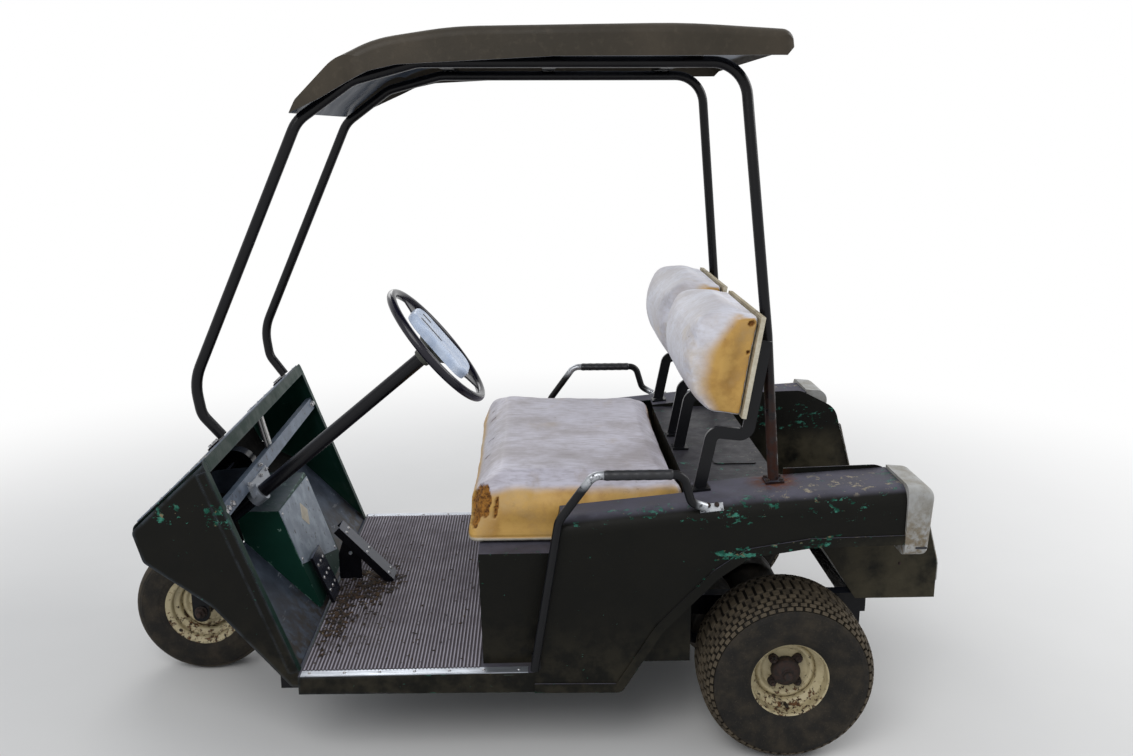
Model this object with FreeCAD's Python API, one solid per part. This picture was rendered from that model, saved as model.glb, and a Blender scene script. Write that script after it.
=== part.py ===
import FreeCAD, Part
import math
import os

# Three-wheeled golf cart. Millimetres, +X forward, +Y to the cart's left, +Z up.
# Shapes are drawn from the rear axle (x = 0) and the floor (z = 0), and moved at the end so that
# the origin is below the middle of the whole cart.
# A corner is (along, up, radius): a point of an outline and how far it is rounded.

Vector = FreeCAD.Vector
Y_AXIS = Vector(0, 1, 0)
Z_AXIS = Vector(0, 0, 1)
ZERO = Vector(0, 0, 0)

# Running gear
WHEELBASE = 1660.0
REAR_OVERHANG = 435.0
REAR_TYRE_R = 228.6
REAR_TYRE_WIDTH = 216.0
REAR_TRACK = 980.0
FRONT_TYRE_R = 207.0
FRONT_TYRE_WIDTH = 120.0
RIM_R = 101.6
RIM_FLANGE_R = 117.0
RIM_DROP = 17.0
RIM_SEAT_R = 60.0
RIM_HOLE_R = 32.0
RIM_DISH = 14.0
RIM_SHEET = 3.5
REAR_RIM_WIDTH = 184.0
REAR_DISC_AT = 22.0
FRONT_RIM_WIDTH = 104.0
BEAD_SEAT = 18.0
BEAD_GAP = 0.3
RUN_GAP = 0.05
SHAFT_R = 15.0
SHAFT_PROUD = 20.0
AXLE_TUBE_R = 30.0
DRUM_R = 78.0
DRUM_DEEP = 62.0
HUB_CAP_R = 38.0
HUB_CAP_LONG = 36.0
HUB_EAR_R = 58.0
HUB_EAR_WIDTH = 24.0
HUB_EAR_THICK = 9.0
SPRING_HALF = 236.0
SPRING_LEAF = 8.0
SPRING_WIDTH = 50.0
SPRING_RISE = 38.0

# Body shell; the inner widths follow from the body's half width
SHEET = 3.0
SEAT_GAP = 0.3
BODY_HALF = 575.0
FENDER_WIDTH = 175.0
FLANGE_WIDTH = 110.0
BOX_SET = 55.0
CUSHION_SET = 115.0
COWL_SET = 27.0
FENDER_INNER = BODY_HALF - FENDER_WIDTH
FLANGE_INNER = BODY_HALF - FLANGE_WIDTH
BOX_HALF = BODY_HALF - BOX_SET
CUSHION_HALF = BODY_HALF - CUSHION_SET
COWL_HALF = BODY_HALF - COWL_SET
FLOOR_Z = 262.0
SILL_REAR_X = 436.0
SILL_REAR_Z = 204.0
SILL_FRONT_Z = 213.0
PANEL_FRONT_X = 660.0
PANEL_TOP_X = 591.0
PANEL_TOP_Z = 674.0
HIP_X = 253.0
HIP_Z = 707.0
FENDER_END_X = -271.0
FENDER_END_Z = 745.0
FENDER_MID_X = 100.0
FENDER_MID_Z = 722.0
ARCH_REAR_Z = 599.0
SHOULDER_R = 42.0
BEAD_WIDTH = 25.0
BEAD_PROUD = 4.0
CAP_LENGTH = 74.0
CAP_PROUD = 8.0
CAP_LOW_Z = 567.0
MAT_BASE = 3.0
MAT_RIB = 2.5
MAT_PITCH = 9.5
MAT_SET = 6.0
STRIP_WIDTH = 28.0
STRIP_THICK = 2.5

# Seat
BOX_FRONT_X = 793.0
BOX_TOP_FRONT_X = 800.0
BOX_TOP_Z = 567.0
CUSHION_OVERHANG = 37.0
CUSHION_TOP_Z = 748.0
PAD_IN = 35.0
PAD_OUT = 480.0
BOARD_THICK = 12.0
SUPPORT_OUTER_Y = 452.0
SUPPORT_INNER_Y = 68.0
SUPPORT_WIDTH = 32.0
SUPPORT_THICK = 10.0
RAIL_TUBE_R = 11.0

# Bag well and deck
DECK_Z = 700.0
WELL_TOP_Z = 752.0
WELL_FLOOR_Z = 370.0
WELL_FRONT_X = -215.0
WELL_CURB = 60.0
WELL_FLANGE = 12.0
EDGE_STRIP = 2.8
WELL_REAR_X = EDGE_STRIP - REAR_OVERHANG

# Cowl, measured back from the front axle
NOSE_X = WHEELBASE - 1.0
NOSE_Z = 653.0
LIP_X = WHEELBASE - 24.0
LIP_Z = 565.0
CHIN_X = WHEELBASE - 186.0
CHIN_Z = 441.0
RIDGE_X = WHEELBASE - 196.0
RIDGE_Z = 831.0
FLOOR_FRONT_X = WHEELBASE - 398.0
HEEL = 27.0
COWL_EDGE_R = 16.0
COWL_SPLIT = COWL_HALF - 24.0
COWL_FLANGE = 22.0
COWL_BEAD = 3.0
RIDGE_FLANGE = 34.0
DASH_Z = 690.0
DASH_AHEAD = 19.0
DASH_DEPTH = 36.0
DASH_THICK = 22.0
TOE_SET = 6.0
TOE_RISE = 1.035
TOE_TOP_Z = 480.0
HOUSING_LEFT = 200.0
HOUSING_RIGHT = -141.0
HOUSING_TOP_Z = 570.0
HOUSING_FRONT = 20.0
KICK_THICK = 2.5
HORN_R = 64.0

# Steering
HEAD_X = WHEELBASE + 12.0
HEAD_R = 27.0
HEAD_LOW_Z = 442.0
HEAD_TOP_Z = 556.0
STEM_R = 14.0
CROWN_LOW_Z = 422.0
CROWN_THICK = 14.0
LEG_THICK = 12.0
LEG_WIDTH = 50.0
TYRE_CLEAR = 8.0
FRONT_BOLT_R = 10.0
ARM_LENGTH = 90.0
ARM_WIDTH = 32.0
LINK_THICK = 12.0
LINK_GAP = 2.0
LINK_PIN_R = 7.0
OPEN_PIN_GAP = 1.0
GEAR_X = HEAD_X - 107.0
GEAR_LOW_Z = 503.0
GEAR_TOP_Z = 581.0
GEAR_SHAFT_R = 11.0
COLUMN_Y = 280.0
COLUMN_R = 19.0
COLUMN_X = WHEELBASE - 160.0
COLUMN_Z = 573.0
COLUMN_INTO_GEAR = 40.0
HUB_X = COLUMN_X - 591.0
HUB_Z = 1060.0
CLAMP_R = 26.0
WHEEL_R = 176.0
WHEEL_GRIP_R = 12.0
BOSS_LONG = 58.0
BOSS_R = 52.0
NECK_R = 21.0
NECK_Z = 520.0
NECK_Y = 75.0

# Canopy
POST_R = 14.0
POST_FOOT_Y = 350.0
POST_BASE_X = 36.0
POST_BASE_Y = 445.0
ROOF_HALF = 500.0
ROOF_WALL = 5.0
ROOF_EDGE_R = 22.0
RAIL_Z = 1775.0
RAIL_Y = 334.0

# Chassis; the rails lie inside the rear tyres
RAIL_TO_TYRE = 52.0
CHASSIS_Y = REAR_TRACK / 2 - REAR_TYRE_WIDTH / 2 - RAIL_TO_TYRE
CHASSIS_HIGH = 56.0
CHASSIS_THICK = 38.0
CHASSIS_KICK_Z = 334.0
CHASSIS_END_X = -262.0
CHASSIS_LOW_Z = FLOOR_Z - SHEET - CHASSIS_HIGH / 2
CHASSIS_CLEAR = 1.0
TOW_PIN_R = 8.0
TOW_PIN_X = -370.0

ORIGIN_X = (WHEELBASE + FRONT_TYRE_R - REAR_OVERHANG) / 2
os.makedirs("parts", exist_ok=True)


def side(a, b):
    """A point of a side outline: along the cart and up."""
    return Vector(a, 0, b)


def plan(a, b):
    """A point of a plan outline: along the cart and to its left."""
    return Vector(a, b, 0)


def turned(a, b):
    """A point of a half section that is turned about the Y axis: along the axis and outwards."""
    return Vector(0, a, b)


def upright(a, b):
    """A point of a half section that is turned about the Z axis: outwards and up."""
    return Vector(a, 0, b)


def closed_wire(corners, place):
    """Closed outline through the corners, each rounded by its radius."""
    rounds = []
    count = len(corners)
    for i, (a, b, radius) in enumerate(corners):
        corner = place(a, b)
        if radius <= 0:
            rounds.append((corner, None, corner))
            continue
        before = (place(*corners[i - 1][:2]) - corner).normalize()
        after = (place(*corners[(i + 1) % count][:2]) - corner).normalize()
        half = before.getAngle(after) / 2
        reach = radius / math.tan(half)
        inward = (before + after).normalize()
        middle = corner + inward * (radius / math.sin(half) - radius)
        rounds.append((corner + before * reach, middle, corner + after * reach))
    edges = []
    for i, (start, middle, end) in enumerate(rounds):
        if middle is not None:
            edges.append(Part.Arc(start, middle, end).toShape())
        following = rounds[(i + 1) % count][0]
        if (following - end).Length > 1e-6:
            edges.append(Part.LineSegment(end, following).toShape())
    return Part.Wire(edges)


def offset_path(corners, distance, closed=False):
    """The same corners moved sideways to the left of the path; round corners keep their centres."""
    moved = []
    count = len(corners)
    for i, (a, b, radius) in enumerate(corners):
        point = Vector(a, b, 0)
        ahead = behind = None
        if closed or i + 1 < count:
            ahead = (Vector(*corners[(i + 1) % count][:2], 0) - point).normalize()
        if closed or i > 0:
            behind = (point - Vector(*corners[i - 1][:2], 0)).normalize()
        ahead = ahead or behind
        behind = behind or ahead
        normals = Vector(-ahead.y - behind.y, ahead.x + behind.x, 0)
        point = point + normals * (2 * distance / normals.dot(normals))
        turn = behind.cross(ahead).z
        if radius > 0:
            radius = max(radius - math.copysign(1, turn) * distance, 0.5)
        moved.append((point.x, point.y, radius))
    return moved


def ribbon(corners, low, high):
    """Closed band along an open path, between two distances to its left."""
    return offset_path(corners, high) + offset_path(corners, low)[::-1]


def slab(corners, y0, y1):
    """A side outline drawn across the cart from y0 to y1."""
    face = Part.Face(closed_wire(corners, side))
    face.translate(Vector(0, y0, 0))
    return face.extrude(Vector(0, y1 - y0, 0))


def layer(corners, z0, z1):
    """A plan outline drawn upwards from z0 to z1."""
    face = Part.Face(closed_wire(corners, plan))
    face.translate(Vector(0, 0, z0))
    return face.extrude(Vector(0, 0, z1 - z0))


def block(x0, x1, y0, y1, z0, z1):
    """A rectangular block between its low and high corners."""
    return Part.makeBox(x1 - x0, y1 - y0, z1 - z0, Vector(x0, y0, z0))


def spun(corners, place, axis, centre):
    """A half section turned a full circle about an axis, then set at its centre."""
    solid = Part.Face(closed_wire(corners, place)).revolve(ZERO, axis, 360)
    solid.translate(centre)
    return solid


def bent_tube(points, radius):
    """Round bar through points (x, y, z, bend): straight runs joined by tangent arcs."""
    bends = [point[3] for point in points]
    points = [Vector(*point[:3]) for point in points]
    edges = []
    start = points[0]
    for before, corner, after, bend in zip(points, points[1:], points[2:], bends[1:]):
        back = (before - corner).normalize()
        on = (after - corner).normalize()
        half = back.getAngle(on) / 2
        reach = bend / math.tan(half)
        middle = corner + (back + on).normalize() * (bend / math.sin(half) - bend)
        edges.append(Part.LineSegment(start, corner + back * reach).toShape())
        edges.append(Part.Arc(corner + back * reach, middle, corner + on * reach).toShape())
        start = corner + on * reach
    edges.append(Part.LineSegment(start, points[-1]).toShape())
    circle = Part.Circle(points[0], points[1] - points[0], radius)
    return Part.Wire(edges).makePipeShell([Part.Wire([circle.toShape()])], True, False)


def rod(start, end, radius):
    """Round bar between two points."""
    start = Vector(*start)
    end = Vector(*end)
    return Part.makeCylinder(radius, (end - start).Length, start, end - start)


def fused(*shapes):
    """The shapes joined to one, with leftover seams removed."""
    return shapes[0].multiFuse(list(shapes[1:])).removeSplitter()


def mirrored(shape):
    """The shape on the cart's other side."""
    return shape.mirror(ZERO, Y_AXIS)


def save(name, *shapes):
    """One sub-part to its file, moved to the cart's own origin."""
    solids = [solid.copy() for shape in shapes for solid in shape.Solids]
    for solid in solids:
        solid.translate(Vector(-ORIGIN_X, 0, 0))
    kept = solids[0] if len(solids) == 1 else Part.makeCompound(solids)
    kept.exportStep("parts/" + name + ".step")


def save_pair(name, shape):
    """A left sub-part and its mirror image."""
    save(name + "_left", shape)
    save(name + "_right", mirrored(shape))


def save_both(name, *shapes):
    """Left pieces and their mirror images as one sub-part."""
    save(name, *shapes, *[mirrored(shape) for shape in shapes])


def rear_line(z, ahead=0.0):
    """x on the cowl's sloping rear plane at height z, or on a plane ahead of it."""
    slope = (RIDGE_X - FLOOR_FRONT_X) / (RIDGE_Z - FLOOR_Z)
    return FLOOR_FRONT_X + (z - FLOOR_Z) * slope + ahead


def toe_line(z):
    """x on the toe board's slope at height z."""
    return FLOOR_FRONT_X + TOE_SET + (z - FLOOR_Z) / TOE_RISE


def on_hood(far):
    """The hood's line at a distance down from the ridge."""
    down = Vector(NOSE_X - RIDGE_X, 0, NOSE_Z - RIDGE_Z).normalize()
    return (RIDGE_X + down.x * far, RIDGE_Z + down.z * far, 0)


def body_top(x):
    """Height of the body side's top line behind the seat at x."""
    front = (HIP_X, HIP_Z) if x > FENDER_MID_X else (FENDER_END_X, FENDER_END_Z)
    slope = (front[1] - FENDER_MID_Z) / (front[0] - FENDER_MID_X)
    return FENDER_MID_Z + (x - FENDER_MID_X) * slope


def tyre(radius, width, bead_width, shoulder):
    """Tyre section on its rim: beads, bulged walls, round shoulders."""
    bead = RIM_R + BEAD_GAP
    half = width / 2
    wall = (radius + bead) / 2 - 12
    return [(-bead_width / 2, bead, 3), (-half, wall, 30), (-half, radius, shoulder),
            (half, radius, shoulder), (half, wall, 30), (bead_width / 2, bead, 3)]


def rim(width, disc_at):
    """Pressed rim: flanges, bead seats, dropped middle and dished disc."""
    half = width / 2
    drop = RIM_R - RIM_DROP
    barrel = [(-half, RIM_FLANGE_R, 0), (-half + 6, RIM_R, 5), (-half * 0.55, RIM_R, 6),
              (-half * 0.42, drop, 6), (half * 0.42, drop, 6), (half * 0.55, RIM_R, 6),
              (half - 6, RIM_R, 5), (half, RIM_FLANGE_R, 0)]
    disc = [(disc_at, drop - RIM_SHEET / 2, 0), (disc_at + RIM_DISH, drop - 14, 6),
            (disc_at + 2, RIM_SEAT_R, 6), (disc_at + 2, RIM_HOLE_R, 0)]
    return fused(spun(ribbon(barrel, -RIM_SHEET, 0), turned, Y_AXIS, ZERO),
                 spun(ribbon(disc, -RIM_SHEET / 2, RIM_SHEET / 2), turned, Y_AXIS, ZERO))


def build_rear_wheels():
    """Left and right rear tyre, rim, brake drum and eared hub."""
    centre = Vector(0, REAR_TRACK / 2, REAR_TYRE_R)
    section = tyre(REAR_TYRE_R, REAR_TYRE_WIDTH, REAR_RIM_WIDTH - BEAD_SEAT, 30)
    wheel = rim(REAR_RIM_WIDTH, REAR_DISC_AT)
    wheel.translate(centre)
    inner = REAR_DISC_AT + 2 - RIM_SHEET / 2
    outer = inner + RIM_SHEET
    bore = SHAFT_R + RUN_GAP
    drum = spun([(inner - DRUM_DEEP, bore, 0), (inner - DRUM_DEEP, DRUM_R, 4), (inner - 18, DRUM_R, 4),
                 (inner - 12, 55, 4), (inner, 55, 2), (inner, bore, 0)], turned, Y_AXIS, centre)
    shaft_end = outer + SHAFT_PROUD
    cap = spun([(outer, bore, 0), (outer, HUB_CAP_R, 3), (outer + HUB_CAP_LONG - 12, HUB_CAP_R - 1, 8),
                (outer + HUB_CAP_LONG, 20, 8), (outer + HUB_CAP_LONG, 0, 0), (shaft_end + SEAT_GAP, 0, 0),
                (shaft_end + SEAT_GAP, bore, 0)], turned, Y_AXIS, centre)
    ears = []
    for degrees in (45, 135, 225, 315):
        half = HUB_EAR_WIDTH / 2
        ear = slab([(-half, HUB_CAP_R - 8, 0), (-half, HUB_EAR_R, 11), (half, HUB_EAR_R, 11),
                    (half, HUB_CAP_R - 8, 0)], outer, outer + HUB_EAR_THICK)
        ear.rotate(ZERO, Y_AXIS, degrees)
        ear.translate(centre)
        ears.append(ear)
    save_pair("rear_tyre", spun(section, turned, Y_AXIS, centre))
    save_pair("rear_rim", wheel)
    save_pair("rear_drum", drum)
    save_pair("rear_hub", fused(cap, *ears))
    return REAR_TRACK / 2 + inner, REAR_TRACK / 2 + shaft_end


def build_rear_axle(drum_face, shaft_end):
    """Axle tube with its shaft ends and differential, motor, leaf springs."""
    tube_end = drum_face - DRUM_DEEP - 5
    motor_z = REAR_TYRE_R + 10
    motor_x = 150.0
    motor_y = 97.0
    motor_end = CHASSIS_Y - CHASSIS_THICK / 2 - 7
    shaft = rod((0, -shaft_end, REAR_TYRE_R), (0, shaft_end, REAR_TYRE_R), SHAFT_R)
    tube = rod((0, -tube_end, REAR_TYRE_R), (0, tube_end, REAR_TYRE_R), AXLE_TUBE_R)
    case = spun([(-95, 0, 0), (-95, 45, 12), (-60, 96, 30), (60, 96, 30), (95, 45, 12), (95, 0, 0)],
                turned, Y_AXIS, Vector(0, 0, REAR_TYRE_R))
    gearcase = slab([(0, REAR_TYRE_R - 70, 0), (0, REAR_TYRE_R + 80, 0), (190, REAR_TYRE_R + 75, 40),
                     (190, REAR_TYRE_R - 50, 40)], -30, 30)
    nose = rod((motor_x, 0, motor_z), (motor_x, motor_y, motor_z), 42)
    save("rear_axle", fused(shaft, tube, case, gearcase, nose))
    motor = spun([(motor_y, 0, 0), (motor_y, 86, 8), (motor_end - 14, 86, 8), (motor_end, 60, 10),
                  (motor_end, 0, 0)], turned, Y_AXIS, Vector(motor_x, 0, motor_z))
    save("drive_motor", motor)
    low = REAR_TYRE_R - AXLE_TUBE_R
    # Leaves from the longest: half length and rise of their ends
    rows = ((SPRING_HALF, SPRING_RISE), (170.0, 20.0), (110.0, 8.0))
    leaves = [leaf(length, low - step * SPRING_LEAF, rise) for step, (length, rise) in enumerate(rows)]
    eye_z = low + SPRING_RISE
    half = SPRING_WIDTH / 2
    eyes = [rod((x, CHASSIS_Y - half, eye_z), (x, CHASSIS_Y + half, eye_z), 15)
            for x in (-SPRING_HALF, SPRING_HALF)]
    hangers = [block(x - 12, x + 12, CHASSIS_Y - CHASSIS_THICK / 2, CHASSIS_Y + CHASSIS_THICK / 2, eye_z + 2,
                     CHASSIS_KICK_Z - CHASSIS_HIGH / 2) for x in (-SPRING_HALF, SPRING_HALF)]
    clamp = block(-38, 38, CHASSIS_Y - half - 5, CHASSIS_Y + half + 5, low - 3 * SPRING_LEAF - 5, low - 0.5)
    save_both("leaf_springs", fused(clamp, *leaves, *eyes, *hangers))


def leaf(length, top, rise):
    """One bowed spring leaf under the axle, with its ends cut square."""
    edges = []
    for up in (0, -SPRING_LEAF):
        ends = [Vector(x, 0, top + rise + up) for x in (-length, length)]
        edges.append(Part.Arc(ends[0], Vector(0, 0, top + up), ends[1]).toShape())
    for x in (-length, length):
        end = Vector(x, 0, top + rise)
        edges.append(Part.LineSegment(end, end - Z_AXIS * SPRING_LEAF).toShape())
    face = Part.Face(Part.Wire(Part.__sortEdges__(edges)))
    face.translate(Vector(0, CHASSIS_Y - SPRING_WIDTH / 2, 0))
    return face.extrude(Vector(0, SPRING_WIDTH, 0))


def chassis_rail(gap=0.0):
    """Left side rail that rises over the rear axle, or the slot that clears it."""
    line = [(FLOOR_FRONT_X, CHASSIS_LOW_Z, 0), (420, CHASSIS_LOW_Z, 60), (290, CHASSIS_KICK_Z, 60),
            (CHASSIS_END_X, CHASSIS_KICK_Z, 0)]
    high = CHASSIS_HIGH / 2 + gap
    thick = CHASSIS_THICK / 2 + gap
    return slab(ribbon(line, -high, high), CHASSIS_Y - thick, CHASSIS_Y + thick)


def build_chassis():
    """Side rails, cross members with the tow tongue, and the neck with its steering head."""
    save_both("chassis_rails", chassis_rail())
    inner = CHASSIS_Y - CHASSIS_THICK / 2
    high = CHASSIS_HIGH / 2
    member = 40.0
    front_members = [block(x, x + member, -inner, inner, CHASSIS_LOW_Z - high, CHASSIS_LOW_Z + high)
                     for x in (500, 840)]
    rear_member = block(CHASSIS_END_X, CHASSIS_END_X + member, -inner, inner, CHASSIS_KICK_Z - high,
                        CHASSIS_KICK_Z + high - 8)
    tongue = layer([(TOW_PIN_X - 30, -30, 20), (CHASSIS_END_X + 5, -30, 0), (CHASSIS_END_X + 5, 30, 0),
                    (TOW_PIN_X - 30, 30, 20)], CHASSIS_KICK_Z - 16, CHASSIS_KICK_Z + 12)
    hole = rod((TOW_PIN_X, 0, 0), (TOW_PIN_X, 0, 600), TOW_PIN_R)
    save("cross_members", *front_members, fused(rear_member, tongue).cut(hole))
    inside = COWL_HALF - SHEET
    beam = 50.0
    front = block(FLOOR_FRONT_X, FLOOR_FRONT_X + beam, -inside, inside, CHASSIS_LOW_Z - high / 2,
                  CHASSIS_LOW_Z + high)
    necks = [bent_tube([(FLOOR_FRONT_X + 33, hand * NECK_Y, CHASSIS_LOW_Z + 5, 0),
                        (FLOOR_FRONT_X + 138, hand * NECK_Y, NECK_Z, 80),
                        (HEAD_X - 6, hand * 14, NECK_Z + 5, 0)], NECK_R) for hand in (-1, 1)]
    head = rod((HEAD_X, 0, HEAD_LOW_Z), (HEAD_X, 0, HEAD_TOP_Z), HEAD_R)
    shelf = block(GEAR_X - 30, GEAR_X + 20, 30, COLUMN_Y - 35, NECK_Z - 8, NECK_Z + 10)
    bore = rod((HEAD_X, 0, HEAD_LOW_Z - 1), (HEAD_X, 0, HEAD_TOP_Z + 1), STEM_R + RUN_GAP)
    save("front_neck", fused(front, *necks, head, shelf).cut(bore))


def build_floor():
    """Floor sheet with its folded sills, ribbed mat, and bright edge strips."""
    half = BODY_HALF - SHEET
    sheet = layer([(HIP_X, -BOX_HALF, 0), (SILL_REAR_X, -BOX_HALF, 0), (SILL_REAR_X, -half, 0),
                   (FLOOR_FRONT_X, -half, 0), (FLOOR_FRONT_X, half, 0), (SILL_REAR_X, half, 0),
                   (SILL_REAR_X, BOX_HALF, 0), (HIP_X, BOX_HALF, 0)], FLOOR_Z - SHEET, FLOOR_Z)
    skirt = slab([(SILL_REAR_X, SILL_REAR_Z, 0), (FLOOR_FRONT_X, SILL_FRONT_Z, 0),
                  (FLOOR_FRONT_X, FLOOR_Z, 0), (SILL_REAR_X, FLOOR_Z, 0)], half - SHEET, half)
    behind = block(0, 500, -BOX_HALF, BOX_HALF, 0, BOX_TOP_Z)
    slot = chassis_rail(CHASSIS_CLEAR).common(behind)
    save("floor_pan", fused(sheet, skirt, mirrored(skirt)).cut(slot).cut(mirrored(slot)))
    front_x = FLOOR_FRONT_X - MAT_SET
    base_z = FLOOR_Z + MAT_BASE
    count = int((front_x - BOX_FRONT_X - 4) / MAT_PITCH)
    outline = [(front_x, FLOOR_Z, 0), (front_x, base_z, 0)]
    for i in range(count):
        x = front_x - i * MAT_PITCH
        outline += [(x - 2, base_z, 0), (x - 3.5, base_z + MAT_RIB, 0), (x - 6.5, base_z + MAT_RIB, 0),
                    (x - 8, base_z, 0)]
    rear_x = front_x - count * MAT_PITCH
    outline += [(rear_x, base_z, 0), (rear_x, FLOOR_Z, 0)]
    mat_half = half - STRIP_WIDTH - SEAT_GAP
    save("floor_mat", slab(outline, -mat_half, mat_half))
    strip = block(PANEL_FRONT_X + 16, front_x, half - STRIP_WIDTH, half, FLOOR_Z, FLOOR_Z + STRIP_THICK)
    save_both("edge_strips", strip)


def body_outline():
    """Side outline of a body side: front edge, top line and fender, wheel arch and sill."""
    return [(PANEL_FRONT_X, SILL_REAR_Z + 4, 0), (PANEL_FRONT_X, FLOOR_Z + 17, 12),
            (PANEL_TOP_X, PANEL_TOP_Z, 0), (HIP_X, HIP_Z, 60), (FENDER_MID_X, FENDER_MID_Z, 200),
            (FENDER_END_X, FENDER_END_Z, 0), (FENDER_END_X, ARCH_REAR_Z, 0), (-37, 594, 60), (117, 570, 60),
            (193, 517, 60), (333, 371, 80), (SILL_REAR_X, SILL_REAR_Z, 20)]


def build_body_sides():
    """Pressed side with rounded shoulder, fender top, inner flange and a bead along the arch."""
    outline = body_outline()
    outer = slab(outline, FENDER_INNER, BODY_HALF)
    low_z = PANEL_TOP_Z - 20
    tops = [edge for edge in outer.Edges if edge.BoundBox.YMin > BODY_HALF - 0.1
            and edge.BoundBox.ZMin > low_z]
    outer = outer.makeFillet(SHOULDER_R, tops)
    inner_line = [(PANEL_FRONT_X - SHEET, 0, 0), (PANEL_FRONT_X - SHEET, FLOOR_Z + 17, 12),
                  (PANEL_TOP_X - SHEET, PANEL_TOP_Z - SHEET, 0), (HIP_X, HIP_Z - SHEET, 60),
                  (FENDER_MID_X, FENDER_MID_Z - SHEET, 200), (FENDER_END_X - 1, FENDER_END_Z - SHEET, 0),
                  (FENDER_END_X - 1, 0, 0)]
    half = BODY_HALF - SHEET
    inner = slab(inner_line, FENDER_INNER + SHEET, half)
    tops = [edge for edge in inner.Edges if edge.BoundBox.YMin > half - 0.1 and edge.BoundBox.ZMin > low_z]
    inner = inner.makeFillet(SHOULDER_R - SHEET, tops)
    shell = outer.cut(inner)
    inside = [block(HIP_X, PANEL_FRONT_X + 40, FENDER_INNER - 1, BOX_HALF, 0, BOX_TOP_Z + SEAT_GAP),
              block(HIP_X, PANEL_FRONT_X + 40, FENDER_INNER - 1, FLANGE_INNER, BOX_TOP_Z, BOX_TOP_Z + 300),
              block(FENDER_END_X - 1, HIP_X, FENDER_INNER - 1, half - 1, 0, ARCH_REAR_Z + 41),
              block(HIP_X, PANEL_FRONT_X + 40, FENDER_INNER - 1, half, 0, FLOOR_Z)]
    for piece in inside:
        shell = shell.cut(piece)
    arch = outline[6:] + outline[:1]
    bead = slab(ribbon(arch, 0, BEAD_WIDTH), BODY_HALF - SHEET / 2, BODY_HALF + BEAD_PROUD)
    save_pair("body_side", fused(shell, bead.common(slab(outline, half, BODY_HALF + BEAD_PROUD))))
    cap_x = FENDER_END_X - SEAT_GAP
    cap_end_x = FENDER_END_X - CAP_LENGTH
    cap = slab([(cap_x, CAP_LOW_Z, 0), (cap_x, FENDER_END_Z + CAP_PROUD, 0),
                (cap_end_x, FENDER_END_Z + 2, 34), (cap_end_x + 10, CAP_LOW_Z, 16)],
               FENDER_INNER + 4, BODY_HALF + CAP_PROUD)
    edges = [edge for edge in cap.Edges if edge.BoundBox.YMin > BODY_HALF + CAP_PROUD - 0.1
             and edge.BoundBox.ZMin > CAP_LOW_Z + 3 and edge.BoundBox.XMin < FENDER_END_X - 2]
    save_both("fender_caps", cap.makeFillet(26, edges))


def build_tail():
    """Bag well between the fenders with its edge strips, deck behind the seat with its hatch."""
    wall_y = FENDER_INNER - SHEET
    rear = [(-250, WELL_TOP_Z, 60), (-372, 690, 70), (WELL_REAR_X, 471, 60), (WELL_REAR_X, WELL_FLOOR_Z, 0)]
    front = [(0, DECK_Z - SHEET, 0), (0, FENDER_END_Z, 0)]
    wall = slab(front + rear + [(WELL_FRONT_X, WELL_FLOOR_Z, 0)], wall_y, FENDER_INNER)
    lip = slab(ribbon(rear, 0, SHEET), wall_y - WELL_FLANGE, wall_y)
    curb_x = WELL_REAR_X + 10
    slope = [(curb_x, WELL_FLOOR_Z, 0), (WELL_FRONT_X, WELL_FLOOR_Z, 0), (0, DECK_Z - SHEET, 0)]
    pan = slab(ribbon(slope, 0, SHEET), -wall_y, wall_y)
    curb = block(curb_x, curb_x + SHEET, -wall_y, wall_y, WELL_FLOOR_Z, WELL_FLOOR_Z + WELL_CURB)
    save("bag_well", fused(wall, mirrored(wall), pan, curb, lip, mirrored(lip)))
    down = [(-388, 634, 0), (WELL_REAR_X, 471, 60), (WELL_REAR_X, 420, 0)]
    strip = slab(ribbon(down, -EDGE_STRIP, -SEAT_GAP), wall_y - WELL_FLANGE, FENDER_INNER)
    save_both("well_edge_strips", strip)
    top = block(0, HIP_X, -FENDER_INNER, FENDER_INNER, DECK_Z - SHEET, DECK_Z)
    riser = block(HIP_X - SHEET, HIP_X, -FENDER_INNER, FENDER_INNER, BOX_TOP_Z, DECK_Z)
    hole = block(40, 140, 20, 215, DECK_Z - SHEET - 1, DECK_Z + 1)
    hatch = layer([(30, 10, 12), (150, 10, 12), (150, 225, 12), (30, 225, 12)], DECK_Z, DECK_Z + SHEET)
    save("rear_deck", fused(fused(top, riser).cut(hole), hatch))


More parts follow.
